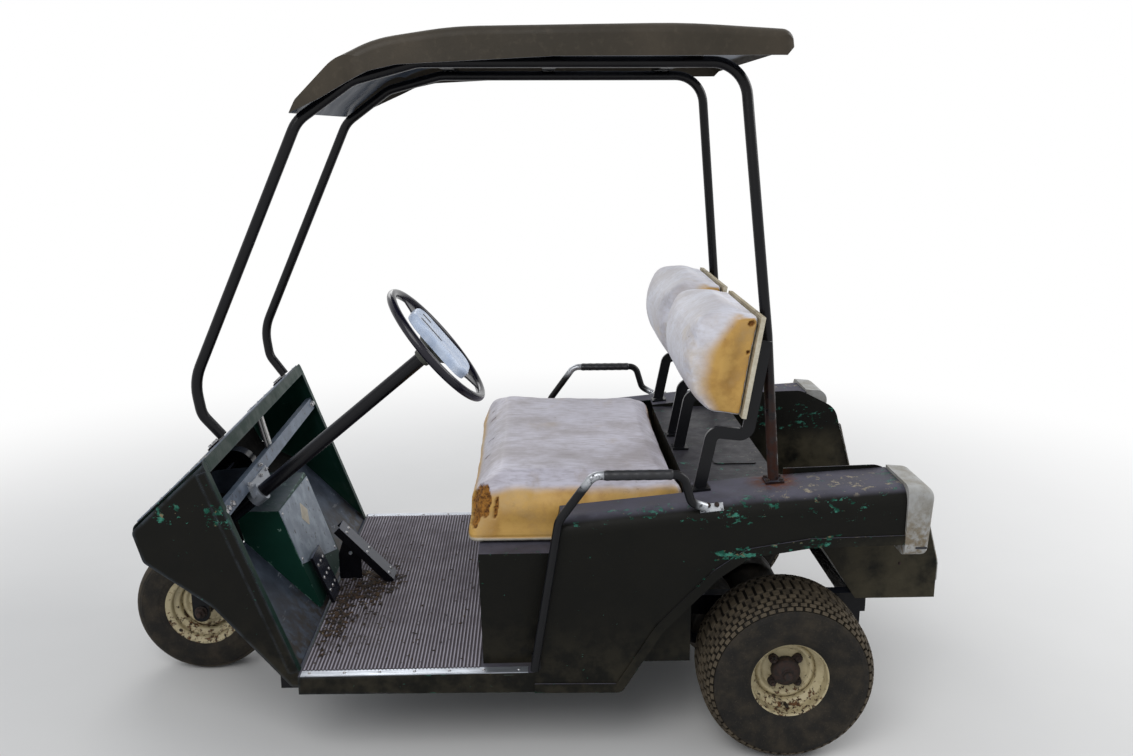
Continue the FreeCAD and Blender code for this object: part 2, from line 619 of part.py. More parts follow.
def build_seat():
    """Seat box, battery block, cushion, two back pads on boards, and their support bars."""
    outer = slab([(HIP_X, FLOOR_Z, 0), (BOX_FRONT_X, FLOOR_Z, 0), (BOX_TOP_FRONT_X, BOX_TOP_Z, 0),
                  (HIP_X, BOX_TOP_Z, 0)], -BOX_HALF, BOX_HALF)
    inner = slab([(HIP_X + SHEET, FLOOR_Z - 1, 0), (BOX_FRONT_X - SHEET, FLOOR_Z - 1, 0),
                  (BOX_TOP_FRONT_X - SHEET, BOX_TOP_Z - SHEET, 0), (HIP_X + SHEET, BOX_TOP_Z - SHEET, 0)],
                 -BOX_HALF + SHEET, BOX_HALF - SHEET)
    mouth = block(HIP_X + 50, BOX_TOP_FRONT_X - 60, -BOX_HALF + 90, BOX_HALF - 90, BOX_TOP_Z - 10,
                  BOX_TOP_Z + 1)
    slot = chassis_rail(CHASSIS_CLEAR)
    save("seat_box", outer.cut(inner).cut(mouth).cut(slot).cut(mirrored(slot)))
    save("battery_pack", block(BOX_FRONT_X - 348, BOX_FRONT_X - 8, -400, 400, FLOOR_Z, FLOOR_Z + 270))
    base = BOX_TOP_Z + SEAT_GAP
    rear_x = HIP_X + SEAT_GAP
    front_x = BOX_TOP_FRONT_X + CUSHION_OVERHANG
    cushion = slab([(rear_x, base, 8), (front_x, base, 10), (front_x + 4, CUSHION_TOP_Z - 80, 140),
                    (front_x - 14, CUSHION_TOP_Z, 38), (rear_x, CUSHION_TOP_Z - 15, 30)],
                   -CUSHION_HALF, CUSHION_HALF)
    save("seat_cushion", cushion)
    low = (131.0, 904.0)
    high = (91.0, 1163.0)
    pad = slab([(*low, 8), (214, 908, 40), (276, 975, 60), (292, 1050, 90), (258, 1196, 50), (*high, 14)],
               PAD_IN, PAD_OUT)
    save_pair("back_pad", pad)
    back = [(*low, 0), (*high, 0)]
    board = slab(ribbon(back, SEAT_GAP, SEAT_GAP + BOARD_THICK), PAD_IN + 4, PAD_OUT - 4)
    save_both("back_boards", board)
    behind = offset_path(back, SEAT_GAP + BOARD_THICK + SUPPORT_WIDTH / 2)
    lean = (behind[1][0] - behind[0][0]) / (behind[1][1] - behind[0][1])
    foot_x = 229.0
    bars = []
    for y, foot_z in ((SUPPORT_OUTER_Y, body_top(foot_x)), (SUPPORT_INNER_Y, DECK_Z)):
        run = [(foot_x, foot_z + 5, 0), (200, 864, 24), (behind[0][0] - 46 * lean, behind[0][1] - 46, 24),
               (behind[1][0] - 60 * lean, behind[1][1] - 60, 0)]
        thick = SUPPORT_THICK / 2
        bar = slab(ribbon(run, -SUPPORT_WIDTH / 2, SUPPORT_WIDTH / 2), y - thick, y + thick)
        rear_z = body_top(foot_x - 26) if y > FENDER_INNER else DECK_Z
        line = [(foot_x - 26, rear_z, 0), (foot_x + 20, foot_z + (foot_z - rear_z) * 20 / 26, 0)]
        bars.append(fused(bar, slab(ribbon(line, SEAT_GAP, 6), y - 22, y + 22)))
    save_both("back_supports", *bars)


def build_arm_rails():
    """Bent tube along the panel's front edge and round the seat's side, flattened at its rear end."""
    y = BODY_HALF + BEAD_PROUD + RAIL_TUBE_R + SEAT_GAP
    tab_front_x = HIP_X - 8
    tab_rear_x = HIP_X - 66
    tab_thick = 4.0
    centre_y = BODY_HALF - SHOULDER_R
    centre_z = body_top(tab_front_x) - SHOULDER_R
    end = (SHOULDER_R + RAIL_TUBE_R + 2) * math.sqrt(0.5)
    points = [(PANEL_FRONT_X, y, FLOOR_Z + 17, 0), (PANEL_TOP_X + 6, y, PANEL_TOP_Z + 6, 60),
              (512, y, 797, 34), (293, y, 797, 30), (270, y - 4, 722, 26),
              (tab_front_x - 12, centre_y + end, centre_z + end, 0)]
    rail = bent_tube(points, RAIL_TUBE_R)
    near = SHOULDER_R + SEAT_GAP
    corners = [(near, -RAIL_TUBE_R), (near + tab_thick, -RAIL_TUBE_R), (near + tab_thick, RAIL_TUBE_R),
               (near, RAIL_TUBE_R)]
    half = math.sqrt(0.5)
    outline = [Vector(tab_front_x, centre_y + (out - up) * half, centre_z + (out + up) * half)
               for out, up in corners]
    tab = Part.Face(Part.makePolygon(outline + outline[:1]))
    tab = tab.extrude(Vector(tab_rear_x - tab_front_x, 0, body_top(tab_rear_x) - body_top(tab_front_x)))
    foot = block(PANEL_FRONT_X - 16, PANEL_FRONT_X + 6, BODY_HALF, y, FLOOR_Z + 19, FLOOR_Z + 60)
    save_both("arm_rails", fused(rail, tab, foot))


def build_cowl():
    """Wedge cowl: hood sheet with its ridge flange, and two sides with rear flange and edge beads."""
    edge = [(FLOOR_FRONT_X, SILL_FRONT_Z, 0), (FLOOR_FRONT_X, FLOOR_Z, 0), (RIDGE_X, RIDGE_Z, 0),
            (NOSE_X, NOSE_Z, 26), (LIP_X, LIP_Z, 30), (CHIN_X, CHIN_Z, 60),
            (FLOOR_FRONT_X + HEEL, SILL_FRONT_Z, 20)]
    outer = slab(edge, -COWL_HALF, COWL_HALF)
    rounded = [e for e in outer.Edges if e.BoundBox.YLength < 0.1 and e.BoundBox.ZMin > LIP_Z
               and e.BoundBox.XMin > RIDGE_X - 1]
    outer = outer.makeFillet(COWL_EDGE_R, rounded)
    hollow = offset_path(edge[2:5], -SHEET)
    below = 160.0
    open_line = [(hollow[0][0] - 60, hollow[0][1] + 54, 0), hollow[1], (hollow[2][0], hollow[2][1], 0),
                 (hollow[2][0] - 30, hollow[2][1] - 60, 0), (NOSE_X + 40, FLOOR_Z - below, 0),
                 (FLOOR_FRONT_X - below, FLOOR_Z - below, 0)]
    inner = slab(open_line, -COWL_HALF + SHEET, COWL_HALF - SHEET)
    shell = outer.cut(inner)
    middle = block(FLOOR_FRONT_X - below, NOSE_X + below, -COWL_SPLIT, COWL_SPLIT, 0, RIDGE_Z + below)
    rear = [(FLOOR_FRONT_X, FLOOR_Z, 0), (RIDGE_X, RIDGE_Z, 0)]
    flange_z = RIDGE_Z - RIDGE_FLANGE
    ridge = slab(ribbon([(rear_line(flange_z), flange_z, 0), rear[1]], -SHEET, 0), -COWL_SPLIT, COWL_SPLIT)
    save("cowl_hood", fused(shell.common(middle), ridge.common(outer)))
    left = [solid for solid in shell.cut(middle).Solids if solid.CenterOfMass.y > 0][0]
    flange = slab(ribbon(rear, -SHEET, 0), COWL_HALF - COWL_FLANGE, COWL_HALF - SHEET)
    bead_low = COWL_HALF - SHEET / 2
    bead_high = COWL_HALF + COWL_BEAD
    bead_z = RIDGE_Z - BEAD_WIDTH
    rear_bead = [(rear_line(FLOOR_Z + 6), FLOOR_Z + 6, 0), (rear_line(bead_z), bead_z, 0)]
    low_bead = [(LIP_X - 24, LIP_Z - 18, 0)] + edge[5:]
    beads = fused(slab(ribbon(rear_bead, -BEAD_WIDTH, -0.5), bead_low, bead_high),
                  slab(ribbon(low_bead, -BEAD_WIDTH, -0.5), bead_low, bead_high))
    field = slab(offset_path(edge, -0.5, closed=True), bead_low, bead_high)
    save_pair("cowl_side", fused(left, flange.common(outer), beads.common(field)))


def build_cowl_inside():
    """Toe board, wheel housing, kick plate, dash rail, braces, and the horn on its bracket."""
    inside = COWL_HALF - SHEET
    toe = [(toe_line(FLOOR_Z), FLOOR_Z, 0), (toe_line(TOE_TOP_Z), TOE_TOP_Z, 0)]
    passage = block(FLOOR_FRONT_X, NOSE_X, HOUSING_RIGHT + SHEET, HOUSING_LEFT - SHEET, FLOOR_Z + 10, RIDGE_Z)
    save("toe_board", slab(ribbon(toe, -SHEET, 0), -inside, inside).cut(passage))
    low_z = FLOOR_Z + 14
    front_x = toe_line(TOE_TOP_Z) + HOUSING_FRONT
    rear = [(rear_line(low_z, TOE_SET), low_z, 0), (rear_line(HOUSING_TOP_Z, TOE_SET), HOUSING_TOP_Z, 0),
            (front_x, HOUSING_TOP_Z, 0)]
    wall = rear + [(toe_line(TOE_TOP_Z), TOE_TOP_Z, 0), (toe_line(low_z), low_z, 0)]
    housing = fused(slab(ribbon(rear, -SHEET, 0), HOUSING_RIGHT, HOUSING_LEFT),
                    slab(wall, HOUSING_LEFT - SHEET, HOUSING_LEFT),
                    slab(wall, HOUSING_RIGHT, HOUSING_RIGHT + SHEET))
    save("wheel_housing", housing.common(slab(wall, HOUSING_RIGHT, HOUSING_LEFT)))
    slope = Vector(RIDGE_X - FLOOR_FRONT_X, 0, RIDGE_Z - FLOOR_Z).normalize()
    rearwards = Vector(-slope.z, 0, slope.x)
    # Kick plate corners: across the cart and up
    rows = ((HOUSING_LEFT, 409.0), (HOUSING_LEFT, HOUSING_TOP_Z - 1), (HOUSING_RIGHT, HOUSING_TOP_Z - 13),
            (HOUSING_RIGHT + 16, 317.0))
    corners = [Vector(rear_line(z, TOE_SET), y, z) for y, z in rows]
    save("kick_plate", Part.Face(Part.makePolygon(corners + corners[:1])).extrude(rearwards * KICK_THICK))
    dash = Vector(rear_line(DASH_Z, DASH_AHEAD), 0, DASH_Z)
    low = dash - slope * (DASH_DEPTH / 2)
    high = dash + slope * (DASH_DEPTH / 2)
    line = [(low.x, low.z, 0), (high.x, high.z, 0)]
    save("dash_rail", slab(ribbon(line, -DASH_THICK / 2, DASH_THICK / 2), -inside, inside))
    top_z = RIDGE_Z - 19
    brace = [(high.x, high.z + 1, 0), (rear_line(top_z, SHEET + 3.2), top_z, 0)]
    bar = ribbon(brace, -2.5, 2.5)
    save("hood_braces", slab(bar, -8, 8), slab(bar, 30, 46))
    horn_x = WHEELBASE - 102
    horn_z = 620.0
    bracket_y = 58.0
    bell = rod((horn_x, -60, horn_z), (horn_x, -15, horn_z), HORN_R)
    bell = bell.cut(block(horn_x - 100, horn_x + 100, -70, 0, horn_z - 100, horn_z))
    spindle = rod((horn_x, -20, horn_z + 20), (horn_x, bracket_y, horn_z + 20), 8)
    save("horn", fused(bell, spindle))
    stand = HOUSING_TOP_Z + SEAT_GAP
    plate = slab([(horn_x - 103, stand, 0), (horn_x + 32, stand, 0), (horn_x + 42, horn_z + 25, 6),
                  (horn_x - 94, horn_z + 38, 6)], bracket_y, bracket_y + SHEET)
    save("horn_bracket", plate)
    return low, slope, rearwards


def build_hood_fittings():
    """Bright cross strip under the post feet, and bright strips along the hood's edges."""
    cross = slab(ribbon([on_hood(4), on_hood(46)], 0, 4), -400, 400)
    trim = slab(ribbon([on_hood(6), on_hood(240)], 0, 3), COWL_SPLIT - 22, COWL_SPLIT)
    save("hood_strips", cross, trim, mirrored(trim))


def build_pedals():
    """Long treadle on its drilled stay, and short studded pedal."""
    mat_z = FLOOR_Z + MAT_BASE + MAT_RIB + SEAT_GAP
    right = -45.0
    left = 20.0
    sheet = 4.0
    low = (FLOOR_FRONT_X - 174, mat_z + 8, 0)
    high = (FLOOR_FRONT_X - 16, mat_z + 178, 0)
    tread = fused(slab(ribbon([low, high], -sheet, 0), right, left),
                  slab(ribbon([low, high], -24, 0), right, right + sheet),
                  slab(ribbon([low, high], -24, 0), left - sheet, left))
    under = block(low[0] - 50, high[0] + 50, right - 1, left + 1, 0, mat_z)
    rise = (high[1] - low[1]) / (high[0] - low[0])
    stay_x = FLOOR_FRONT_X - 72
    beneath = [(x, low[1] + (x - low[0]) * rise - sheet, 0) for x in (stay_x, stay_x + 42)]
    stay = slab([(stay_x, mat_z, 0), (stay_x + 68, mat_z, 0), (stay_x + 68, mat_z + 82, 6), beneath[1],
                 beneath[0]], -14, -10)
    stay = stay.cut(rod((stay_x + 32, -30, mat_z + 84), (stay_x + 32, 30, mat_z + 84), 6))
    plate = [(FLOOR_FRONT_X - 18.3, mat_z + 3, 0), (FLOOR_FRONT_X + 38, mat_z + 142, 0)]
    save("pedals", fused(tread.cut(under), stay), slab(ribbon(plate, -8, 0), 60, 160))


def build_steering(low, slope, rearwards):
    """Column with its clamp, gearbox, pitman arm, drag link, fork and front axle bolt."""
    column_end = Vector(COLUMN_X, COLUMN_Y, COLUMN_Z)
    hub = Vector(HUB_X, COLUMN_Y, HUB_Z)
    axis = (hub - column_end).normalize()
    start = column_end - axis * COLUMN_INTO_GEAR
    top = hub - axis * (BOSS_LONG + SEAT_GAP)
    save("steering_column", Part.makeCylinder(COLUMN_R, (top - start).Length, start, axis))
    room = Part.makeCylinder(COLUMN_R + SEAT_GAP, (top - start).Length, start, axis)
    back = low + rearwards * (DASH_THICK / 2)
    corners = [back - slope * 24, back + slope * 14, back + slope * 14 + rearwards * 4,
               back - slope * 24 + rearwards * 4]
    plate = Part.Face(Part.makePolygon(corners + corners[:1]))
    plate.translate(Vector(0, COLUMN_Y - 130, 0))
    plate = plate.extrude(Vector(0, 180, 0))
    along = (low - start).dot(axis)
    ring = Part.makeCylinder(CLAMP_R, 36, start + axis * (along - 18), axis)
    save("column_clamp", fused(plate, ring).cut(room))
    # Gearbox with the pitman shaft's bore
    box = block(GEAR_X - 50, GEAR_X + 35, COLUMN_Y - 35, COLUMN_Y + 35, GEAR_LOW_Z, GEAR_TOP_Z)
    box = box.cut(Part.makeCylinder(COLUMN_R, (top - start).Length, start, axis))
    shaft_top = GEAR_LOW_Z + 37
    bore = rod((GEAR_X, COLUMN_Y, GEAR_LOW_Z - 8), (GEAR_X, COLUMN_Y, shaft_top + 5), GEAR_SHAFT_R + RUN_GAP)
    save("steering_box", box.cut(bore))
    shaft = rod((GEAR_X, COLUMN_Y, CROWN_LOW_Z), (GEAR_X, COLUMN_Y, shaft_top), GEAR_SHAFT_R)
    reach = Vector(-COLUMN_Y, GEAR_X - HEAD_X, 0).normalize() * ARM_LENGTH
    pivot = Vector(GEAR_X, COLUMN_Y, 0)
    save("pitman_arm", fused(shaft, arm(pivot, pivot + reach, CROWN_LOW_Z, CROWN_THICK, ARM_WIDTH),
                             pin(pivot + reach)))
    # Drag link rides on both arms' pins; its front eye is the open pivot
    link_z = CROWN_LOW_Z + CROWN_THICK + LINK_GAP
    tip = Vector(HEAD_X, 0, 0) + reach
    link = arm(pivot + reach, tip, link_z, LINK_THICK, ARM_WIDTH - 6)
    for point, gap in ((pivot + reach, RUN_GAP), (tip, OPEN_PIN_GAP)):
        eye = rod((point.x, point.y, link_z - 1), (point.x, point.y, link_z + 30), LINK_PIN_R + gap)
        link = link.cut(eye)
    save("drag_link", link)
    build_fork(tip)
    return axis, hub


def build_fork(tip):
    """Fork with crown, legs, stem and steering arm, and the axle bolt."""
    leg_y = FRONT_TYRE_WIDTH / 2 + TYRE_CLEAR
    outside = leg_y + LEG_THICK
    rear_x = WHEELBASE - 32
    front_x = HEAD_X + 30
    crown = layer([(rear_x, -outside, 10), (front_x, -outside, 10), (front_x, outside, 10),
                   (rear_x, outside, 10)], CROWN_LOW_Z, CROWN_LOW_Z + CROWN_THICK)
    half = LEG_WIDTH / 2
    leg_low_z = FRONT_TYRE_R - 32
    leg_top_z = CROWN_LOW_Z + 4
    leg = slab([(WHEELBASE - half, leg_low_z, 24), (WHEELBASE + half, leg_low_z, 24),
                (WHEELBASE + half, leg_top_z, 0), (WHEELBASE - half, leg_top_z, 0)], leg_y, outside)
    stem = rod((HEAD_X, 0, CROWN_LOW_Z + 2), (HEAD_X, 0, HEAD_TOP_Z + 12), STEM_R)
    collar = rod((HEAD_X, 0, CROWN_LOW_Z + 2), (HEAD_X, 0, HEAD_LOW_Z - SEAT_GAP), HEAD_R)
    tiller = arm(Vector(HEAD_X, 0, 0), tip, CROWN_LOW_Z, CROWN_THICK, ARM_WIDTH)
    fork = fused(crown, leg, mirrored(leg), stem, collar, tiller, pin(tip))
    bolt_y = outside + 10
    ends = [(WHEELBASE, y, FRONT_TYRE_R) for y in (-bolt_y, bolt_y)]
    save("front_fork", fork.cut(rod(*ends, FRONT_BOLT_R + RUN_GAP)))
    save("front_axle", rod(*ends, FRONT_BOLT_R))


def arm(start, end, z, thick, width):
    """Flat bar with round ends between two upright pins."""
    along = (end - start).normalize()
    across = Vector(-along.y, along.x, 0) * (width / 2)
    corners = [start + across, start - across, end - across, end + across]
    bar = Part.Face(Part.makePolygon([Vector(p.x, p.y, z) for p in corners + corners[:1]]))
    bar = bar.extrude(Vector(0, 0, thick))
    ends = [rod((p.x, p.y, z), (p.x, p.y, z + thick), width / 2) for p in (start, end)]
    return fused(bar, *ends)


def pin(point):
    """Upright link pin standing on an arm."""
    top = CROWN_LOW_Z + CROWN_THICK + LINK_GAP + LINK_THICK + 4
    return rod((point.x, point.y, CROWN_LOW_Z), (point.x, point.y, top), LINK_PIN_R)


def build_front_wheel():
    """Front tyre, rim and hub between the fork's legs."""
    centre = Vector(WHEELBASE, 0, FRONT_TYRE_R)
    section = tyre(FRONT_TYRE_R, FRONT_TYRE_WIDTH, FRONT_RIM_WIDTH - BEAD_SEAT, 34)
    save("front_tyre", spun(section, turned, Y_AXIS, centre))
    wheel = rim(FRONT_RIM_WIDTH, 0)
    wheel.translate(centre)
    save("front_rim", wheel)
    face = 2 - RIM_SHEET / 2
    half = FRONT_TYRE_WIDTH / 2 + TYRE_CLEAR - 3
    bore = FRONT_BOLT_R + RUN_GAP
    hub = spun([(-half, bore, 0), (-half, 24, 3), (face - 12, 28, 4), (face - 10, 52, 3), (face, 52, 2),
                (face, RIM_HOLE_R - 1, 0), (face + 6, 28, 3), (half, 24, 3), (half, bore, 0)],
               turned, Y_AXIS, centre)
    save("front_hub", hub)


def build_steering_wheel(axis, hub):
    """Grip, three flat spokes, bell-shaped boss and the raised centre pad, square to the column."""
    turn = FreeCAD.Rotation(Z_AXIS, axis)

    def seat(shape):
        shape.Placement = FreeCAD.Placement(hub, turn).multiply(shape.Placement)
        return shape

    boss = spun([(0, -BOSS_LONG, 0), (24, -BOSS_LONG, 2), (30, -36, 12), (BOSS_R, -12, 8), (BOSS_R, -2, 2),
                 (0, -2, 0)], upright, Z_AXIS, ZERO)
    spokes = []
    outer = WHEEL_R - 4
    for degrees in (82, 202, 322):
        spoke = layer([(36, -11, 0), (128, -11, 20), (outer, -34, 0), (outer, 34, 0), (128, 11, 20),
                       (36, 11, 0)], -2.5, 2.5)
        spoke.rotate(Vector(outer, 0, 0), Y_AXIS, -8)
        spoke.rotate(ZERO, Z_AXIS, degrees)
        spokes.append(spoke)
    save("steering_wheel", seat(fused(Part.makeTorus(WHEEL_R, WHEEL_GRIP_R), boss, *spokes)))
    pad = layer([(-107, -72, 46), (107, -72, 46), (107, 72, 46), (-107, 72, 46)], -1.7, 24)
    rim_edges = [e for e in pad.Edges if e.BoundBox.ZMin > 23]
    save("wheel_pad", seat(pad.makeFillet(10, rim_edges)))


def roof_body(inset):
    """Roof form with rounded side edges, or its hollow when inset by the wall."""
    over = [(42, RAIL_Z + 25, 0), (47, RAIL_Z + 63, 30), (300, RAIL_Z + 78, 2000), (830, RAIL_Z + 70, 900),
            (1010, RAIL_Z + 43, 300), (1115, RAIL_Z - 6, 120), (1212, RAIL_Z - 90, 30),
            (1231, RAIL_Z - 121, 0)]
    if inset:
        over = offset_path(over, -inset)
        below = RAIL_Z - 275
        line = over + [(over[-1][0] + 4, below, 0), (20 + inset, below, 0)]
    else:
        line = over + [(1154, RAIL_Z - 91, 60), (1026, RAIL_Z - 29, 90), (961, RAIL_Z - 15, 90),
                       (600, RAIL_Z + 3, 0), (60, RAIL_Z + 5, 0)]
    half = ROOF_HALF - inset
    body = slab(line, -half, half)
    edges = [e for e in body.Edges if e.BoundBox.YLength < 0.1 and e.BoundBox.ZMin > RAIL_Z + 15
             and 200 < e.BoundBox.XMin < 600]
    body = body.makeFillet(ROOF_EDGE_R - inset, edges)
    corner_r = 60 - inset
    shape = layer([(20 + inset, -half, corner_r), (1060, -half, 60), (1240, -410 + inset, 40 - inset),
                   (1240, 410 - inset, 40 - inset), (1060, half, 60), (20 + inset, half, corner_r)],
                  RAIL_Z - 300, RAIL_Z + 200)
    return body.common(shape)


def build_canopy():
    """Two bent hoops, cross bars and the hollow roof."""
    base_z = body_top(POST_BASE_X)
    bend = 90.0
    line = [(RIDGE_X + 5, POST_FOOT_Y, RIDGE_Z + 8, 0), (RIDGE_X + 50, POST_FOOT_Y + 8, RIDGE_Z + 68, 60),
            (RIDGE_X + 61, POST_FOOT_Y + 11, RIDGE_Z + 157, 150), (1226, 352, RAIL_Z - 139, bend),
            (1090, RAIL_Y, RAIL_Z - 42, bend), (930, RAIL_Y, RAIL_Z, bend), (127, RAIL_Y, RAIL_Z, bend),
            (55, 388, 1100, bend), (POST_BASE_X, POST_BASE_Y, base_z + 4, 0)]
    hoop = bent_tube(line, POST_R)
    under = slab(ribbon([on_hood(-60), on_hood(160)], -90, 4.0), POST_FOOT_Y - 100, POST_FOOT_Y + 100)
    plate = slab(ribbon([on_hood(5), on_hood(45)], 4.0, 9.0), POST_FOOT_Y - 24, POST_FOOT_Y + 24)
    ends = [(x, body_top(x), 0) for x in (POST_BASE_X - 24, POST_BASE_X + 24)]
    base = slab(ribbon(ends, SEAT_GAP, 6), POST_BASE_Y - 24, POST_BASE_Y + 24)
    save_pair("canopy_hoop", fused(hoop.cut(under), plate, base))
    inner = roof_body(ROOF_WALL)
    save("canopy_roof", roof_body(0).cut(inner))
    bars = []
    for x in (250.0, 600.0, 900.0):
        bar = block(x - 20, x + 20, -ROOF_HALF + 60, ROOF_HALF - 60, RAIL_Z + POST_R + 0.2, RAIL_Z + 125)
        bars.append(bar.common(inner))
    save("roof_bars", *bars)


drum_face, shaft_end = build_rear_wheels()
build_rear_axle(drum_face, shaft_end)
build_chassis()
build_floor()
build_body_sides()
build_tail()
build_seat()
build_arm_rails()
build_cowl()
low, slope, rearwards = build_cowl_inside()
build_hood_fittings()
build_pedals()
axis, hub = build_steering(low, slope, rearwards)
build_front_wheel()
build_steering_wheel(axis, hub)
build_canopy()
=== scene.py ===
import math

import bpy
import numpy as np
from mathutils import Matrix, Vector


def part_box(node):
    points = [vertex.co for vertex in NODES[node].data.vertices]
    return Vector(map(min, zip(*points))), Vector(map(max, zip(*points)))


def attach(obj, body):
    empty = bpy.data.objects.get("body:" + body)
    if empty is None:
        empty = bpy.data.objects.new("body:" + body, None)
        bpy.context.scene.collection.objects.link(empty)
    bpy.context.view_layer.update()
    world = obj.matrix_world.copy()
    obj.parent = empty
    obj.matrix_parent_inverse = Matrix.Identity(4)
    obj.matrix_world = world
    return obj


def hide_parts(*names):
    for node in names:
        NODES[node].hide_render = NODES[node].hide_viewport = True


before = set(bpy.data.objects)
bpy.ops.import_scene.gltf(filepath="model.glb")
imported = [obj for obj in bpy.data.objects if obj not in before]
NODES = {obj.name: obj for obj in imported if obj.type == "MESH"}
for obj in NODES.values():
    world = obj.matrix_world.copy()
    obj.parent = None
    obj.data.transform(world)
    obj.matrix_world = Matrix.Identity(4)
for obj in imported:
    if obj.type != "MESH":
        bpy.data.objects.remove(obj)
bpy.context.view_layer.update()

# Three-wheeled golf cart in metres: +X forward, +Y to the cart's left, +Z up, floor at z = 0.
MM = 0.001
AXLE_X = 0.5 * (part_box("rear_tyre_left")[0].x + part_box("rear_tyre_left")[1].x)


def spot(x, y, z):
    """Place in metres of a point given in millimetres from the rear axle, the cart's middle and the
    floor."""
    return np.array([AXLE_X + x * MM, y * MM, z * MM])


def ahead(x):
    """Distance along the cart in metres of a point x millimetres ahead of the rear axle."""
    return AXLE_X + x * MM


WHEEL_HUB = spot(909, 280, 1060)
COLUMN = WHEEL_HUB - spot(1500, 280, 573)
COLUMN_AXIS = COLUMN / np.linalg.norm(COLUMN)


# Mesh making

def mesh_piece(name, points, faces, material, body, smooth=True):
    """A new piece from points (n x 3) and faces (rows of indices), riding on a body."""
    mesh = bpy.data.meshes.new(name)
    mesh.from_pydata(np.asarray(points, float).tolist(), [], [[int(i) for i in face] for face in faces])
    mesh.validate()
    mesh.polygons.foreach_set("use_smooth", [smooth] * len(mesh.polygons))
    mesh.materials.append(material)
    piece = bpy.data.objects.new(name, mesh)
    bpy.context.scene.collection.objects.link(piece)
    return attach(piece, body)


def grid_faces(rows, columns, wrap_rows=False, wrap_columns=False):
    """Quads of a grid of points numbered row by row; a wrapped direction joins its end to its start."""
    r = np.arange(rows if wrap_rows else rows - 1)
    c = np.arange(columns if wrap_columns else columns - 1)
    r, c = np.meshgrid(r, c, indexing="ij")
    r1 = (r + 1) % rows
    c1 = (c + 1) % columns
    quads = np.stack([r * columns + c, r1 * columns + c, r1 * columns + c1, r * columns + c1], -1)
    return quads.reshape(-1, 4)


def turned_points(section, angles, centre):
    """Points of a section (along the axle, radius) carried round the Y axis at the angles: rows are
    angles."""
    angle = np.asarray(angles).reshape(-1, 1)
    x = centre[0] + section[:, 1] * np.sin(angle)
    y = centre[1] + section[:, 0] + 0 * angle
    z = centre[2] + section[:, 1] * np.cos(angle)
    return np.stack([x, y, z], -1).reshape(-1, 3)


def joined(parts):
    """Several (points, faces) meshes as one; faces keep their own lengths."""
    points, faces, start = [], [], 0
    for part_points, part_faces in parts:
        points.append(np.asarray(part_points, float))
        faces += [[int(i) + start for i in face] for face in part_faces]
        start += len(part_points)
    return np.concatenate(points), faces


def framed(axis):
    """Rotation (3 x 3) that takes +Z to the axis."""
    return np.array(Vector((0, 0, 1)).rotation_difference(Vector(axis)).to_matrix())


def stud(at, axis, section, sides):
    """A turned or many-sided stud standing at a point: section is rows of (radius, height), closed at both
    ends."""
    section = np.asarray(section, float)
    angle = np.linspace(0, 2 * math.pi, sides, endpoint=False)
    ring = np.stack([np.cos(angle), np.sin(angle)], -1)
    points = np.concatenate([np.column_stack([ring * r, np.full(sides, h)]) for r, h in section])
    faces = [list(f)[::-1] for f in grid_faces(len(section), sides, wrap_columns=True)]
    faces.append(list(range(sides))[::-1])
    faces.append(list(range(len(points) - sides, len(points))))
    return points @ framed(axis).T + np.asarray(at, float), faces


def hex_bolt(at, axis, across):
    """Hexagon head on a round washer, across flats as given."""
    r = across / 2
    disc = stud(at, axis, [(r * 1.35, -0.0003), (r * 1.35, r * 0.22), (r * 1.25, r * 0.28)], 20)
    head = stud(at, axis, [(r * 1.155, r * 0.2), (r * 1.155, r * 0.95), (r * 0.98, r * 1.15)], 6)
    return joined([disc, head])


def nut_on_stud(at, axis, across):
    """Hexagon nut on a washer with the threaded end of its bolt standing out."""
    r = across / 2
    end = stud(at, axis, [(r * 0.55, r * 0.5), (r * 0.55, r * 1.75), (r * 0.45, r * 1.9)], 12)
    return joined([hex_bolt(at, axis, across), end])


def round_head(at, axis, across):
    """Domed screw or rivet head."""
    radius = across / 2
    turn = np.linspace(0, math.pi / 2, 5)[:-1]
    section = [(radius, -0.0003)] + [(radius * math.cos(t), radius * 0.55 * math.sin(t)) for t in turn]
    return stud(at, axis, section + [(radius * 0.12, radius * 0.55)], 14)


def fasteners(name, body, material, rows):
    """One piece of many fasteners: rows are (kind, place in mm, axis, width in mm)."""
    made = [kind(spot(*place), axis, width * MM) for kind, place, axis, width in rows]
    piece = mesh_piece(name, *joined(made), material, body, smooth=False)


def tube(path, radius, sides=14):
    """Round bar of a radius along a polyline, closed at its ends; rings stand square to the path and faces
    point outwards."""
    path = np.asarray(path, float)
    radius = np.broadcast_to(radius, len(path))
    along = np.gradient(path, axis=0)
    along /= np.linalg.norm(along, axis=1, keepdims=True)
    side = np.cross(along, np.where(np.abs(along[:, 2:]) > 0.9, [[1.0, 0, 0]], [[0, 0, 1.0]]))
    side /= np.linalg.norm(side, axis=1, keepdims=True)
    up = np.cross(side, along)
    angle = np.linspace(0, 2 * math.pi, sides, endpoint=False)
    ring = np.cos(angle)[None, :, None] * side[:, None] + np.sin(angle)[None, :, None] * up[:, None]
    points = (path[:, None] + ring * radius[:, None, None]).reshape(-1, 3)
    faces = [list(f) for f in grid_faces(len(path), sides, wrap_columns=True)]
    faces.append(list(range(sides)))
    faces.append(list(range(len(points) - sides, len(points)))[::-1])
    return points, faces


